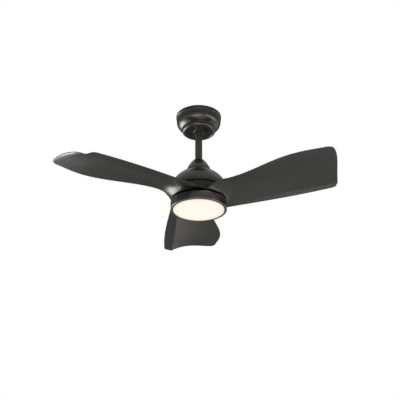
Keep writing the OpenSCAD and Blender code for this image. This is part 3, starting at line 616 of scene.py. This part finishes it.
def turned(name, section, start=0.0, turn=360.0, steps=ROUND_STEPS, soft_ends=0.0):
    """Turns a closed section of (radius, height) points round the rod's axis, the whole way or part of it.

    The two ends of a part turn are eased off over the length soft_ends.
    """
    whole = turn >= 360
    count = len(section)
    stations = [(start + turn * k / steps, section) for k in range(steps if whole else steps + 1)]
    if soft_ends:
        edge = math.degrees(soft_ends / max(point[0] for point in section))
        small = offset(section, soft_ends * 0.6, closed=True)
        stations[0:1] = [(start, small), (start + edge, section)]
        stations[-1:] = [(start + turn - edge, section), (start + turn, small)]
    points = []
    for angle, ring in stations:
        a = math.radians(angle)
        points += [(out * math.cos(a), out * math.sin(a), high) for out, high in ring]
    rings = len(stations)
    faces = []
    for k in range(rings if whole else rings - 1):
        for i in range(count):
            here, ahead = k * count, (k + 1) % rings * count
            faces.append((here + i, here + (i + 1) % count, ahead + (i + 1) % count, ahead + i))
    if not whole:
        faces.append(tuple(range(count)))
        faces.append(tuple((rings - 1) * count + i for i in range(count)))
    return built(name, points, faces)


def moved(piece, matrix):
    """The piece, with its mesh moved by a matrix."""
    piece.data.transform(matrix)
    return piece


def at(x, y, z=0.0):
    """Shift by millimetres."""
    return Matrix.Translation(Vector((x, y, z)) * MM)


def turn_about(axis, degrees):
    """Turn about an axis through the origin."""
    return Matrix.Rotation(math.radians(degrees), 4, axis)


def drill(hole_radius, low, high, matrix):
    """Round cutter from a low to a high end along the rod's axis, then moved to its place."""
    outline = path((0, low), (hole_radius, low), (hole_radius, high), (0, high))
    return moved(turned("drill", outline, steps=HOLE_STEPS), matrix)


def on_circle(azimuth, circle):
    """Shift to a place at a distance from the rod's axis, and a turn that faces away from it."""
    return turn_about("Z", azimuth) @ at(circle, 0)


def cut(piece, cutters):
    """Takes the cutters out of a piece and removes them."""
    for cutter in cutters:
        step = piece.modifiers.new("cut", "BOOLEAN")
        step.object = cutter
        step.solver = "EXACT"
    bpy.context.view_layer.update()
    whole = piece.evaluated_get(bpy.context.evaluated_depsgraph_get())
    result = bpy.data.meshes.new_from_object(whole)
    piece.modifiers.clear()
    piece.data = result
    for cutter in cutters:
        bpy.data.objects.remove(cutter)
    return smoothed(piece)


def joined(name, pieces):
    """One piece from several that are moulded or made as one."""
    form = bmesh.new()
    for piece in pieces:
        form.from_mesh(piece.data)
        bpy.data.objects.remove(piece)
    mesh = bpy.data.meshes.new(name)
    form.to_mesh(mesh)
    form.free()
    made = bpy.data.objects.new(name, mesh)
    bpy.context.scene.collection.objects.link(made)
    return smoothed(made)


def fitted(piece, material, body, slot, *nodes):
    """Gives a piece its finish, the body that it moves with and the frame nodes that it stands for."""
    piece.data.materials.clear()
    piece.data.materials.append(material)
    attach(piece, body)
    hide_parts(*nodes)
    return piece


# ---- Operators ----


class FAN_OT_stage(bpy.types.Operator):
    """Make the camera, the white studio, its softboxes and the floor"""

    bl_idname = "fan.stage"
    bl_label = "Stage"

    # Direction from -1, straight down, to 1, straight up, and the share of the room light that comes from it
    height_levels = (
        (-1.0, 1.45), (-0.6, 1.45), (-0.3, 1.35), (0.0, 0.98), (0.2, 0.58),
        (0.34, 0.34), (0.5, 0.42), (0.7, 0.7), (0.85, 1.05), (1.0, 0.75),
    )
    # The same from -1, in front of the fan, to 1, behind it
    depth_levels = ((-1.0, 1.0), (0.0, 0.97), (0.5, 0.86), (0.72, 0.56), (0.88, 0.25), (1.0, 0.18))

    # Softboxes: azimuth and elevation in degrees, width and height in metres, share of the key light, colour.
    # Azimuth 0 is in front of the fan, and 90 is to its right
    soft_white, warm_white = (1, 0.98, 0.94), (1, 0.96, 0.91)
    softboxes = {
        "rear_left_softbox": (-127.5, -28, 1.9, 1.5, 1, soft_white),
        "front_softbox": (-8, -26, 2.4, 1.3, 0.31, soft_white),
        "right_softbox": (70, -16, 3.6, 1.0, 0.31, warm_white),
        "rear_right_softbox": (148, -18, 2.6, 1.4, 0.042, soft_white),
    }
    softbox_distance = 3.0
    sensor_width = 36
    floor_radius, floor_sides = 14, 96

    def ramp(self, air, value, levels, share):
        """Grey level that follows a value from -1 to 1."""
        spread = air.node("ShaderNodeMapRange", {}, {"From Min": -1, "Value": value})
        stops = [((spot + 1) / 2, shade((1, 1, 1), level * share)) for spot, level in levels]
        return air.node("ShaderNodeValToRGB", {"stops": stops}, {0: spread})

    def make_softbox(self, context, name, azimuth, elevation, width, height, share, colour):
        """Soft light that faces the hub."""
        studio = context.scene.fan_studio
        a, e = math.radians(azimuth), math.radians(elevation)
        way = Vector((math.sin(a) * math.cos(e), -math.cos(a) * math.cos(e), math.sin(e)))
        light = bpy.data.lights.new(name, "AREA")
        light.shape = "RECTANGLE"
        light.size = width
        light.size_y = height
        light.energy = studio.key_light * share * width * height * math.pi
        light.color = colour
        lamp = bpy.data.objects.new(name, light)
        lamp.location = Vector((0, 0, studio.target_height)) + way * self.softbox_distance
        lamp.rotation_euler = way.to_track_quat("Z", "Y").to_euler()
        lamp.visible_camera = False
        context.scene.collection.objects.link(lamp)

    def make_camera(self, context, studio):
        """Camera in front of the fan and below it."""
        camera = bpy.data.objects.new("camera", bpy.data.cameras.new("camera"))
        camera.data.lens = studio.lens
        camera.data.sensor_width = self.sensor_width
        camera.data.shift_x = studio.shift
        camera.location = (0, -studio.distance, studio.camera_height)
        aim = Vector((0, 0, studio.target_height)) - camera.location
        camera.rotation_euler = aim.to_track_quat("-Z", "Y").to_euler()
        context.scene.collection.objects.link(camera)
        context.scene.camera = camera
        context.scene.view_settings.view_transform = "Standard"

    def make_room(self, context, studio):
        """White to the camera, and to everything else a light that changes with its direction."""
        air = Nodes(bpy.data.worlds.new("studio"), "BACKGROUND")
        way = air.node("ShaderNodeTexCoord", {}, {}, "Generated")
        height = air.node("ShaderNodeSeparateXYZ", {}, {0: way}, "Z")
        depth = air.node("ShaderNodeSeparateXYZ", {}, {0: way}, "Y")
        by_height = self.ramp(air, height, self.height_levels, studio.room)
        by_depth = self.ramp(air, depth, self.depth_levels, 1)
        light = air.mix(1, by_height, by_depth, "MULTIPLY")
        to_camera = air.node("ShaderNodeLightPath", {}, {}, "Is Camera Ray")
        context.scene.world = air.feed(Color=air.mix(to_camera, light, (1, 1, 1, 1)))

    def make_floor(self, studio):
        """Round pale floor that neither lights the fan nor shows in its gloss."""
        wide, low = self.floor_radius / MM, studio.floor_height / MM
        turns = [k * math.tau / self.floor_sides for k in range(self.floor_sides)]
        rim = [(wide * math.cos(a), wide * math.sin(a), low) for a in turns]
        floor = built("floor", rim, [tuple(range(self.floor_sides))])
        paint = Finish("floor_paint", Roughness=0.8, Emission_Strength=studio.floor_glow)
        mottle = paint.grain(0.5, 4)
        floor.data.materials.append(paint.feed(
            Base_Color=paint.mix(mottle, (0.8, 0.8, 0.8, 1), (0.84, 0.84, 0.83, 1)),
            Emission_Color=paint.mix(mottle, (0.98, 0.98, 0.98, 1), (1, 1, 1, 1)),
        ))
        floor.visible_diffuse = False
        floor.visible_glossy = False

    def execute(self, context):
        studio = context.scene.fan_studio
        self.make_camera(context, studio)
        self.make_room(context, studio)
        for name, box in self.softboxes.items():
            self.make_softbox(context, name, *box)
        self.make_floor(studio)
        return {"FINISHED"}


class FAN_OT_canopy(bpy.types.Operator):
    """Make the spun canopy and the two screws that hold it to its bracket"""

    bl_idname = "fan.canopy"
    bl_label = "Canopy"

    screw_circle, screw_azimuth = 35, -27
    head_radius, shank_radius = 4.5, 2.45
    shank_end, screw_end = 9.5, 10.2
    cross_length = 4.2
    rod_clearance = 2.4
    band, bead, bulge = 11, 1.1, 38
    rim_width, rim_height = 9, 10
    plate_recess, dimple = 0.2, 0.6

    def outline(self, sizes):
        """Outer face from the ceiling down: bowl, step, round tier, then the plate in its thin rim."""
        wide, low = radius("canopy"), bottom("canopy")
        plate = sizes.plate_radius / MM
        tier = plate + self.rim_width
        step = low + sizes.tier_height / MM
        face = low + self.plate_recess
        mouth = radius("downrod") + self.rod_clearance
        band = rounded([
            (wide - 2.5, -0.3), (wide, -0.3, 2.2), (wide, -self.band, 0.9), (wide - 2.4, -self.band - 2, 1.1),
            (wide - 2.0, -self.band - 6),
        ])[:-1]
        bowl = curve([
            (wide - 2.1, -self.band - 4.5), (wide + 0.3, -self.bulge),
            (tier + 13, step + 6), (tier + 3, step + 0.4),
        ])
        groove = rounded([
            (tier + 3, step + 0.4), (tier + 1.6, step - 0.6, 0.7), (tier, step - 1.6, 0.5), (tier, step - 4),
        ])[1:]
        lip = low - self.bead
        rim_top = lip + self.rim_height
        round_rim = [
            np.array((plate + self.rim_width * math.cos(a), rim_top + self.rim_height * math.sin(a)))
            for a in np.linspace(-0.1, -math.pi / 2, 14)
        ]
        flat = rounded([
            (plate, lip), (plate - 1.3, lip, 0.5), (plate - 2.4, face, 0.6), (plate - 4, face),
            (mouth + 6.5, face), (mouth + 4.6, face, 0.6), (mouth + 3.4, lip, 0.8), (mouth + 1.2, lip, 0.8),
            (mouth + 0.8, face + 1.1),
        ])[1:]
        return [*band, *bowl, *groove, *round_rim, *flat]

    def screw(self, seat):
        """Pan-head screw with a cross recess, its head under the seat height."""
        head, shank, end = self.head_radius, self.shank_radius, seat + self.screw_end
        screw = turned("screw", rounded([
            (0, seat - 2.1), (2.4, seat - 2.0, 0.8), (head, seat - 0.9, 1.0), (head, seat, 0.15),
            (shank, seat, 0.15), (shank, seat + self.shank_end, 0.2), (1.6, end), (0, end),
        ]), steps=64)
        arm = path((0, seat - 3), (0.75, seat - 3), (0.55, seat - 0.9), (0, seat - 0.9))
        longer = Matrix.Scale(self.cross_length, 4, (1, 1, 0))
        arms = [moved(turned("arm", arm, steps=4), turn_about("Z", spin) @ longer) for spin in (0, 90)]
        return cut(screw, arms)

    def execute(self, context):
        sizes, finishes = context.scene.fan_sizes, context.scene.fan_finishes
        low = bottom("canopy")
        seat = low + self.plate_recess + self.dimple
        spots = [on_circle(self.screw_azimuth + side, self.screw_circle) for side in (0, 180)]
        shell = turned("canopy_bowl", sheet(self.outline(sizes), sizes.canopy_sheet / MM))
        hole = path((0, low - 3), (6.2, low - 3), (5.8, seat), (2.8, seat), (2.8, low + 6), (0, low + 6))
        cut(shell, [moved(turned("dimple", hole, steps=HOLE_STEPS), spot) for spot in spots])
        coat = powder_coat("canopy_coat", finishes.coat, finishes.coat_roughness)
        fitted(shell, coat, "mount", "charcoal_metal", "canopy")
        screws = joined("canopy_screw_pair", [moved(self.screw(seat), spot) for spot in spots])
        oxide = bare_metal("black_oxide", (0.01, 0.01, 0.01), 0.5)
        fitted(screws, oxide, "mount", "black_screw", "canopy_screws")
        return {"FINISHED"}


class FAN_OT_rod(bpy.types.Operator):
    """Make the rod with its two pin holes"""

    bl_idname = "fan.rod"
    bl_label = "Rod"

    pin_hole, drill_reach = 3.05, 20

    def execute(self, context):
        sizes, finishes = context.scene.fan_sizes, context.scene.fan_finishes
        outer, low, high = radius("downrod"), bottom("downrod"), top("downrod")
        bore = outer - sizes.rod_wall / MM
        wall = rounded([(outer, low, 0.4), (outer, high, 0.4), (bore, high, 0.3), (bore, low, 0.3)])
        rod = turned("rod_tube", wall)
        holes = []
        for pin in ("ball_pin", "coupling_pin"):
            middle = (top(pin) + bottom(pin)) / 2
            across = at(0, 0, middle) @ turn_about("Y", 90)
            holes.append(drill(self.pin_hole, -self.drill_reach, self.drill_reach, across))
        cut(rod, holes)
        coat = powder_coat("rod_coat", finishes.rod_coat, 0.35, level=0.7)
        fitted(rod, coat, "hanger", "charcoal_metal", "downrod")
        return {"FINISHED"}


class FAN_OT_covers(bpy.types.Operator):
    """Make the bell that covers the coupling and the dome that covers the motor"""

    bl_idname = "fan.covers"
    bl_label = "Bell and Dome"

    rod_clearance = 7.4
    screw_circle, screw_hole = 28, 2.05

    def execute(self, context):
        sizes, finishes = context.scene.fan_sizes, context.scene.fan_finishes
        thickness = sizes.cover_sheet / MM
        coat = powder_coat("cover_coat", finishes.coat, finishes.coat_roughness)
        neck, foot = sizes.bell_neck / MM, sizes.bell_foot / MM
        high, low = top("coupling_cover"), bottom("coupling_cover")
        bell_face = curve([
            (neck, high - 0.5), (neck + 10, high - 8), (foot + 3.5, low + 13), (foot, low + 0.6),
        ], 40)
        bell = turned("bell_cover", sheet(bell_face, thickness))
        fitted(bell, coat, "hanger", "charcoal_metal", "coupling_cover")

        wide, high, low = radius("dome_cover"), top("dome_cover"), bottom("dome_cover")
        mouth = radius("downrod") + self.rod_clearance
        shoulder = curve([
            (foot + 1.5, high), (foot + 15.5, high - 2), (wide - 1, low + 44), (wide, low + 0.7),
        ], 48)
        dome = turned("dome_shell", sheet([np.array((mouth, high)), *shoulder], thickness, rolled=False))
        spots = [on_circle(spin + THIRD / 2, self.screw_circle) for spin in THREE_WAYS]
        cut(dome, [drill(self.screw_hole, high - 8, high + 4, spot) for spot in spots])
        fitted(dome, coat, "hanger", "charcoal_metal", "dome_cover")
        return {"FINISHED"}


class BladeForm:
    """Shape of one blade in millimetres.

    X runs out along it, Y towards its leading edge and Z up from the strip. Column 0 is the leading edge,
    column 1 the crease beside the strip and column 2 the trailing edge. Each edge is four cubic curves.
    """

    span_ends = (0, 0.2, 0.56, 0.86, 1)       # shares of the length where an edge's four curves meet
    lead_azimuth, crease_azimuth = 74.6, 50   # degrees round the hub from the blade's own axis
    inset = 0.2                               # degrees from a seam to the skin's edge
    ramp_end = 0.16                           # share of the length where the root's ramp ends
    crease_bend = 0.018                       # half the width of the bend at the crease, in columns
    camber_power, power_growth = 1.7, 1.3     # of the section's curve at the root, and its gain to the tip
    cove_reach, cove_growth = 32, 16          # at the trailing edge, and what it gains up to the crease
    strip_setback = 46                        # from the tip back to the end of the strip
    corner_share = 0.72                       # share of the belly's offset where the tip meets the sweep
    tip_handles = (20, -58), (0, 52)          # of the curve across the tip

    def __init__(self, sizes, hub):
        self.sizes = sizes
        self.hub = hub
        sweep, lead, strip = sizes.sweep_radius / MM, sizes.lead_offset / MM, sizes.strip_width / MM
        waist, belly, corner = sizes.waist_offset / MM, sizes.belly_offset / MM, sizes.tip_round / MM
        self.reach = sweep - hub
        gap = math.degrees(math.atan(sizes.seam / MM / 2 / hub))
        self.lead_seam = self.lead_azimuth - gap
        self.trail_seam = self.lead_azimuth - THIRD + gap
        self.root_lead = self.lead_seam - self.inset
        self.root_trail = self.trail_seam + self.inset
        tip = math.sqrt(sweep**2 - (belly * self.corner_share) ** 2)
        out, root = self.out, self.on_hub
        waist_x, belly_x, fold, strip_tip = out(0.10), out(0.70), lead - strip, tip - self.strip_setback
        here = math.radians(self.root_trail)
        along = np.array((-math.sin(here), math.cos(here)))
        low = -belly
        self.trail = path(
            root(self.root_trail),
            root(self.root_trail) + 14 * along, (waist_x - 26, -waist - 4), (waist_x, -waist),
            (waist_x + self.reach * 0.2, -waist + 1), (belly_x - self.reach * 0.2, low), (belly_x, low),
            (belly_x + self.reach * 0.1, low), (tip - corner * 2, low + 10), (tip - corner, low + 15),
            (tip - corner * 0.4, low + 17), (tip + 1, low + 12 + corner * 0.45), (tip + 1, low + 12 + corner),
        )
        self.crease = path(
            root(self.crease_azimuth),
            root(self.crease_azimuth) + (22, 0), (out(0.03), fold - 25), (out(0.08), fold - 24.5),
            (out(0.28), fold - 22), (out(0.48), fold - 18), (out(0.68), fold - 9),
            (out(0.73), fold - 7), (out(0.78), fold - 5), (strip_tip - 14, fold - 3),
            (strip_tip - 9, fold - 2), (strip_tip - 4, fold - 1.5), (strip_tip, fold - 1),
        )
        self.lead = path(
            root(self.root_lead),
            root(self.root_lead) + (22, 2), (out(0.01) - 20, lead - 27.5), (out(0.03), lead - 25),
            (out(0.23), lead - 13.5), (out(0.43), lead - 4), (out(0.63), lead - 1),
            (out(0.69), lead), (out(0.75), lead), (strip_tip - 32, lead),
            (strip_tip - 22, lead), (strip_tip - 15, lead - 3), (strip_tip - 11, lead - 12),
        )

    def out(self, share):
        """Distance from the rod's axis at a share of the way from the hub to the tip's sweep."""
        return self.hub + share * self.reach

    def on_hub(self, degrees):
        """Point of the hub's circle."""
        a = math.radians(degrees)
        return self.hub * np.array((math.cos(a), math.sin(a)))

    def along_edge(self, edge, s):
        """Point of an edge at share s of its length."""
        k = min(3, sum(s >= end for end in self.span_ends[1:]))
        start, stop = self.span_ends[k], self.span_ends[k + 1]
        return bezier(edge[3 * k:3 * k + 4], (s - start) / (stop - start))

    def between(self, first, second, root, tip, s, t):
        """Patch between two edges, whose ends follow the hub and the tip."""
        inside = (1 - t) * self.along_edge(first, s) + t * self.along_edge(second, s)
        at_root = root - (1 - t) * first[0] - t * second[0]
        at_tip = tip - (1 - t) * first[-1] - t * second[-1]
        return inside + (1 - s) * at_root + s * at_tip

    def plan(self, s, c):
        """Place in plan of column c at share s of the length."""
        if c <= 1:
            root = self.on_hub(self.root_lead + (self.crease_azimuth - self.root_lead) * c)
            tip = self.lead[-1] + (self.crease[-1] - self.lead[-1]) * c
            return self.between(self.lead, self.crease, root, tip, s, c)
        root = self.on_hub(self.crease_azimuth + (self.root_trail - self.crease_azimuth) * (c - 1))
        fold, trail = self.crease[-1], self.trail[-1]
        leaves, arrives = self.tip_handles
        tip = bezier([fold, fold + leaves, trail + arrives, trail], c - 1)
        return self.between(self.crease, self.trail, root, tip, s, c - 1)

    def thickness(self, s, c):
        """Greatest at the crease, and least at the edges and the tip."""
        edge, middle = self.sizes.edge_thickness / MM, self.sizes.blade_thickness / MM
        return edge + (middle - edge) * (1 - (c - 1) ** 2) * (1 - s**8)

    def camber(self, s, c):
        """Height over the strip: steepest at the crease, which has a small radius."""
        soft = self.crease_bend
        rise = (self.sizes.root_rise + (self.sizes.tip_rise - self.sizes.root_rise) * s) / MM
        rise *= 1 - self.sizes.root_ramp * max(0, 1 - s / self.ramp_end) ** 2
        power = self.camber_power + self.power_growth * s
        if c <= 1 - soft:
            return 0.0
        if c < 1 + soft:
            return rise * power * (c - 1 + soft) ** 2 / (4 * soft)
        return rise * (1 - (2 - c) ** power)

    def skirt(self, place):
        """Share of the camber that the cove over the hub wall takes from the underside."""
        a = math.degrees(math.atan2(place[1], place[0]))
        share = (a - self.trail_seam) / (self.crease_azimuth - self.trail_seam)
        width = self.cove_reach + self.cove_growth * max(0.0, min(1.0, share))
        t = max(0.0, min(1.0, 1 - (np.linalg.norm(place) - self.hub) / width))
        return 1 - math.sqrt(1 - t * t)


class FAN_OT_blades(bpy.types.Operator):
    """Make the three blades, each in one piece with its third of the hub wall and its inner flange"""

    bl_idname = "fan.blades"
    bl_label = "Blades"

    edge_round = 1.05
    wall = 3.0
    cove_depth = 0.65
    flange_low, flange_high, flange_start = 4, 8, 53.9
    screw_circle, screw_turns, screw_hole = 65.9, (-15, 45), 2.7

    def faces_of(self, form):
        """Grids of points for the underside and the top.

        Rows are shares of the length, closer together at the root and the tip. Columns run from the leading
        edge to the trailing edge, closer together at the crease.
        """
        rows = [0.2 * (k / 24) ** 1.7 for k in range(25)]
        rows += [0.2 + 0.36 * k / 22 for k in range(1, 23)] + [0.56 + 0.3 * k / 18 for k in range(1, 19)]
        rows += [0.86 + 0.14 * (1 - (1 - k / 16) ** 1.3) for k in range(1, 17)]
        columns = [0, 0.08, 0.25, 0.5, 0.75, 0.92, 0.982, 0.991, 1.0, 1.009, 1.018, 1.035]
        columns += [1.035 + 0.965 * k / 36 for k in range(1, 36)] + [1.985, 2.0]
        plans = np.array([[form.plan(s, c) for c in columns] for s in rows])
        lift = np.array([[form.camber(s, c) for c in columns] for s in rows])
        depth = np.array([[form.thickness(s, c) for c in columns] for s in rows])
        skirt = np.array([[form.skirt(place) for place in line] for line in plans])
        plans[0] *= 1 - self.wall / 2 / form.hub      # the root ends in the middle of the hub wall
        return np.dstack([plans, lift * (1 - self.cove_depth * skirt)]), np.dstack([plans, lift + depth])

    def rim(self, low, high, loop, last, side):
        """Draws both grids in along the loop, and gives the rings of points that round the rim."""
        rings = []
        for grid, way, turns in ((low, 1, (-60, -30, 0)), (high, -1, (0, 30, 60))):
            inward, centres = [], []
            for i, j, inner_i, inner_j in loop:
                if i == last and j in (0, side):
                    inner_i, inner_j = last - 1, (1 if j == 0 else side - 1)
                step = grid[inner_i, inner_j] - grid[i, j]
                step = step / np.linalg.norm(step) * self.edge_round
                inward.append(step)
                centres.append(grid[i, j] + step + (0, 0, way * self.edge_round))
            for turn in turns:
                a = math.radians(turn)
                rise = np.array((0, 0, self.edge_round * math.sin(a)))
                rings.append([centre - step * math.cos(a) + rise for centre, step in zip(centres, inward)])
            for (i, j, _, _), step in zip(loop, inward):
                grid[i, j] = grid[i, j] + step
        return rings

    def skin(self, form):
        """Closed skin outside the hub wall, with a rounded rim."""
        low, high = self.faces_of(form)
        n, m = low.shape[:2]
        last, side = n - 1, m - 1
        # Round the rim: a point's row and column, then those of its neighbour inside the skin
        loop = [(i, 0, i, 1) for i in range(1, n)]
        loop += [(last, j, last - 1, j) for j in range(1, side)]
        loop += [(i, side, i, side - 1) for i in range(last, 0, -1)]
        rings = self.rim(low, high, loop, last, side)
        points = [*low.reshape(-1, 3), *high.reshape(-1, 3)]
        shift = n * m
        faces = []
        for i in range(last):
            for j in range(side):
                k = i * m + j
                faces.append((k, k + 1, k + m + 1, k + m))
                faces.append((shift + k + m, shift + k + m + 1, shift + k + 1, shift + k))
        lines = [[i * m + j for i, j, _, _ in loop]]
        for ring in rings:
            lines.append(range(len(points), len(points) + len(ring)))
            points += ring
        lines.append([shift + i * m + j for i, j, _, _ in loop])
        for lower, upper in zip(lines, lines[1:]):
            faces += [(lower[k + 1], lower[k], upper[k], upper[k + 1]) for k in range(len(loop) - 1)]
        for end, corner in ((0, 0), (-1, side)):
            faces.append((corner, *[line[end] for line in lines], shift + corner))
        for j in range(side):
            faces.append((j, shift + j, shift + j + 1, j + 1))
        return built("skin", points, faces)

    def execute(self, context):
        sizes, finishes = context.scene.fan_sizes, context.scene.fan_finishes
        hub = radius("lamp_housing")
        form = BladeForm(sizes, hub)
        tall = sizes.hub_wall / MM
        start, turn = form.trail_seam, form.lead_seam - form.trail_seam
        inside = hub - self.wall
        wall = rounded([(hub, 0, 0.9), (hub, tall, 0.4), (inside, tall, 0.6), (inside, 0, 0.6)])
        flange = rounded([
            (inside + 0.5, self.flange_low), (inside + 0.5, self.flange_high),
            (self.flange_start, self.flange_high, 0.5), (self.flange_start, self.flange_low, 0.5),
        ])
        flange = turned("flange", flange, start, turn, 54)
        spots = [on_circle(azimuth, self.screw_circle) for azimuth in self.screw_turns]
        cut(flange, [drill(self.screw_hole, -2, 14, spot) for spot in spots])
        blade = joined("blade", [self.skin(form), turned("wall", wall, start, turn, 72, 0.9), flange])
        moved(blade, at(0, 0, bottom("blade_1")))
        plastic = moulded("blade_plastic", finishes.plastic, finishes.plastic_roughness, level=0.42)
        for k in range(3):
            piece = blade if k == 2 else bpy.data.objects.new("blade", blade.data.copy())
            if k < 2:
                context.scene.collection.objects.link(piece)
            piece.name = f"fan_blade_{k + 1}"
            moved(piece, turn_about("Z", math.degrees(sizes.blade_azimuth) + THIRD * k))
            fitted(piece, plastic, "rotor", "charcoal_plastic", f"blade_{k + 1}")
        return {"FINISHED"}


class FAN_OT_light(bpy.types.Operator):
    """Make the light's ring and its opal diffuser"""

    bl_idname = "fan.light"
    bl_label = "Light"

    shaft_opening, shoulder = 21.5, 6
    ledge_width, lens_thickness, lens_gap, seat_gap = 5, 2.5, 0.5, 0.3
    lug_reach, lug_angle, lug_thickness, twist = 3, 12, 2.5, 20
    notch_play, notch_turn = 0.6, 2
    lamp_screw_circle, lamp_screw_hole = 42, 2.2
    standoff_circle, standoff_hole = 62, 1.55
    even_share = 0.75

    def execute(self, context):
        sizes, finishes = context.scene.fan_sizes, context.scene.fan_finishes
        hub, high, low = radius("lamp_housing"), top("lamp_housing"), bottom("lamp_housing")
        sheet_mm = sizes.ring_sheet / MM
        lip = hub - sizes.lip_width / MM
        throat, ledge = lip - self.ledge_width, low + self.lens_thickness + self.seat_gap
        inner, floor, inside, over = hub - sheet_mm, low + sheet_mm, lip + sheet_mm, ledge + sheet_mm
        ring = turned("light_ring", rounded([
            (self.shaft_opening, high, 0.3), (hub, high, self.shoulder), (hub, low, 1.3), (lip, low, 0.5),
            (lip, ledge), (throat, ledge, 0.3), (throat, over, 0.3), (inside, over), (inside, floor),
            (inner, floor), (inner, high - sheet_mm, self.shoulder - sheet_mm),
            (self.shaft_opening, high - sheet_mm, 0.3),
        ]))
        near, far = throat - 1, throat + self.lug_reach + self.notch_play
        notch = path((near, ledge - 1), (far, ledge - 1), (far, over + 1), (near, over + 1))
        notch_angle = self.lug_angle + 2 * self.notch_turn
        holes = []
        for spin in THREE_WAYS:
            lamp_screw = on_circle(spin, self.lamp_screw_circle)
            standoff = on_circle(spin + THIRD / 2, self.standoff_circle)
            holes.append(turned("notch", notch, spin + self.twist - notch_angle / 2, notch_angle, 8))
            holes.append(drill(self.lamp_screw_hole, high - 6, high + 3, lamp_screw))
            holes.append(drill(self.standoff_hole, high - 6, high + 3, standoff))
        cut(ring, holes)
        coat = powder_coat("ring_coat", finishes.ring, finishes.ring_roughness, 1.0)
        fitted(ring, coat, "hanger", "bronze_black", "lamp_housing")

        disc, skirt = lip - self.lens_gap, throat - self.lens_gap
        back = low + self.lens_thickness
        lug = ledge + sheet_mm + self.seat_gap
        lug_top = lug + self.lug_thickness
        opal = turned("opal_diffuser", rounded([
            (0, low), (disc, low, 0.9), (disc, back, 0.5), (skirt, back, 0.2), (skirt, lug_top, 0.4),
            (skirt - 2, lug_top, 0.4), (skirt - 2, back), (0, back),
        ]))
        reach = skirt + self.lug_reach
        tab = rounded([(skirt - 1, lug), (reach, lug, 0.4), (reach, lug_top, 0.4), (skirt - 1, lug_top)])
        tabs = [turned("tab", tab, spin - self.lug_angle / 2, self.lug_angle, 8, 0.4) for spin in THREE_WAYS]
        lens = joined("opal_diffuser", [opal, *tabs])
        even = disc * self.even_share
        glow = lit_opal("lit_opal", finishes.light, finishes.light_strength, even * MM, disc * MM)
        fitted(lens, glow, "lens", "opal", "diffuser")
        return {"FINISHED"}


class FAN_OT_hardware(bpy.types.Operator):
    """Give the pieces that keep the frame's own shape their finishes"""

    bl_idname = "fan.hardware"
    bl_label = "Inner Hardware"

    def execute(self, context):
        finishes = context.scene.fan_finishes
        made = {
            "zinc_steel": bare_metal("zinc_plate", (0.6, 0.61, 0.62), 0.42, spangle=0.004),
            "charcoal_metal": powder_coat("inner_coat", finishes.coat, finishes.coat_roughness),
            "black_plastic": moulded("black_case", (0.02, 0.02, 0.021), 0.5),
            "ivory_plastic": moulded("ivory_nylon", (0.7, 0.66, 0.55), 0.42),
            "bearing_brass": bare_metal("brass", (0.72, 0.53, 0.26), 0.32, (1, 1, 8)),
            "green_screw": bare_metal("green_zinc", (0.06, 0.3, 0.1), 0.4),
            "steel": bare_metal("turned_steel", (0.55, 0.56, 0.57), 0.34, (1, 1, 12)),
            "cast_grey": cast_metal("grey_casting", (0.22, 0.22, 0.22), 0.5),
            "cable": braided("lead_sleeve", (0.03, 0.03, 0.03)),
            "board_green": circuit_board("green_board", (0.02, 0.14, 0.06), (0.6, 0.6, 0.58)),
            "board_white": circuit_board("white_board", (0.75, 0.75, 0.72), (0.7, 0.65, 0.5)),
            "copper": wound_wire("winding", (0.75, 0.38, 0.17)),
            "led": phosphor("lamp_chip", (0.9, 0.72, 0.25)),
            "aluminium": cast_metal("die_cast_aluminium", (0.68, 0.69, 0.7), 0.42),
            "magnet": bare_metal("ferrite", (0.1, 0.1, 0.11), 0.5, metallic=0.3),
        }
        # The rotor casings get a near-black colour so that the gap under the dome reads dark: painted shade
        # standing for the dome's shadow over them
        gap_shade_casing = cast_metal("black_casting", (0.012, 0.012, 0.012), 0.6)
        for subpart in frame["record"]["subparts"]:
            node = frame["nodes"][subpart["node"]]
            if not node.hide_render:
                finish = gap_shade_casing if "rotor" in subpart["node"] else made[subpart["material_slot"]]
                node.data.materials.clear()
                node.data.materials.append(finish)
        return {"FINISHED"}


class FAN_PT_panel(bpy.types.Panel):
    """The fan's sizes, finishes and studio, and a button for each group of pieces"""

    bl_idname = "FAN_PT_panel"
    bl_label = "Ceiling Fan"
    bl_space_type = "VIEW_3D"
    bl_region_type = "UI"
    bl_category = "Ceiling Fan"

    def draw(self, context):
        for title, holder in (("Sizes", "fan_sizes"), ("Finishes", "fan_finishes"), ("Studio", "fan_studio")):
            box = self.layout.box()
            box.label(text=title)
            group = getattr(context.scene, holder)
            for name in group.__annotations__:
                box.prop(group, name)
        column = self.layout.column(align=True)
        for operator in OPERATORS:
            column.operator(operator.bl_idname)


GROUPS = {"fan_sizes": FanSizes, "fan_finishes": FanFinishes, "fan_studio": FanStudio}
OPERATORS = (
    FAN_OT_stage, FAN_OT_canopy, FAN_OT_rod, FAN_OT_covers, FAN_OT_blades, FAN_OT_light, FAN_OT_hardware,
)


def register():
    """Registers the classes and hangs the three groups of properties on the scene."""
    for kind in (*GROUPS.values(), *OPERATORS, FAN_PT_panel):
        bpy.utils.register_class(kind)
    for name, group in GROUPS.items():
        setattr(bpy.types.Scene, name, PointerProperty(type=group))


def unregister():
    """Takes back what register did."""
    for name in GROUPS:
        delattr(bpy.types.Scene, name)
    for kind in (FAN_PT_panel, *reversed(OPERATORS), *GROUPS.values()):
        bpy.utils.unregister_class(kind)


def main():
    """Makes the stage and every piece."""
    register()
    bpy.ops.fan.stage()
    bpy.ops.fan.canopy()
    bpy.ops.fan.rod()
    bpy.ops.fan.covers()
    bpy.ops.fan.blades()
    bpy.ops.fan.light()
    bpy.ops.fan.hardware()


if __name__ == "__main__":
    main()
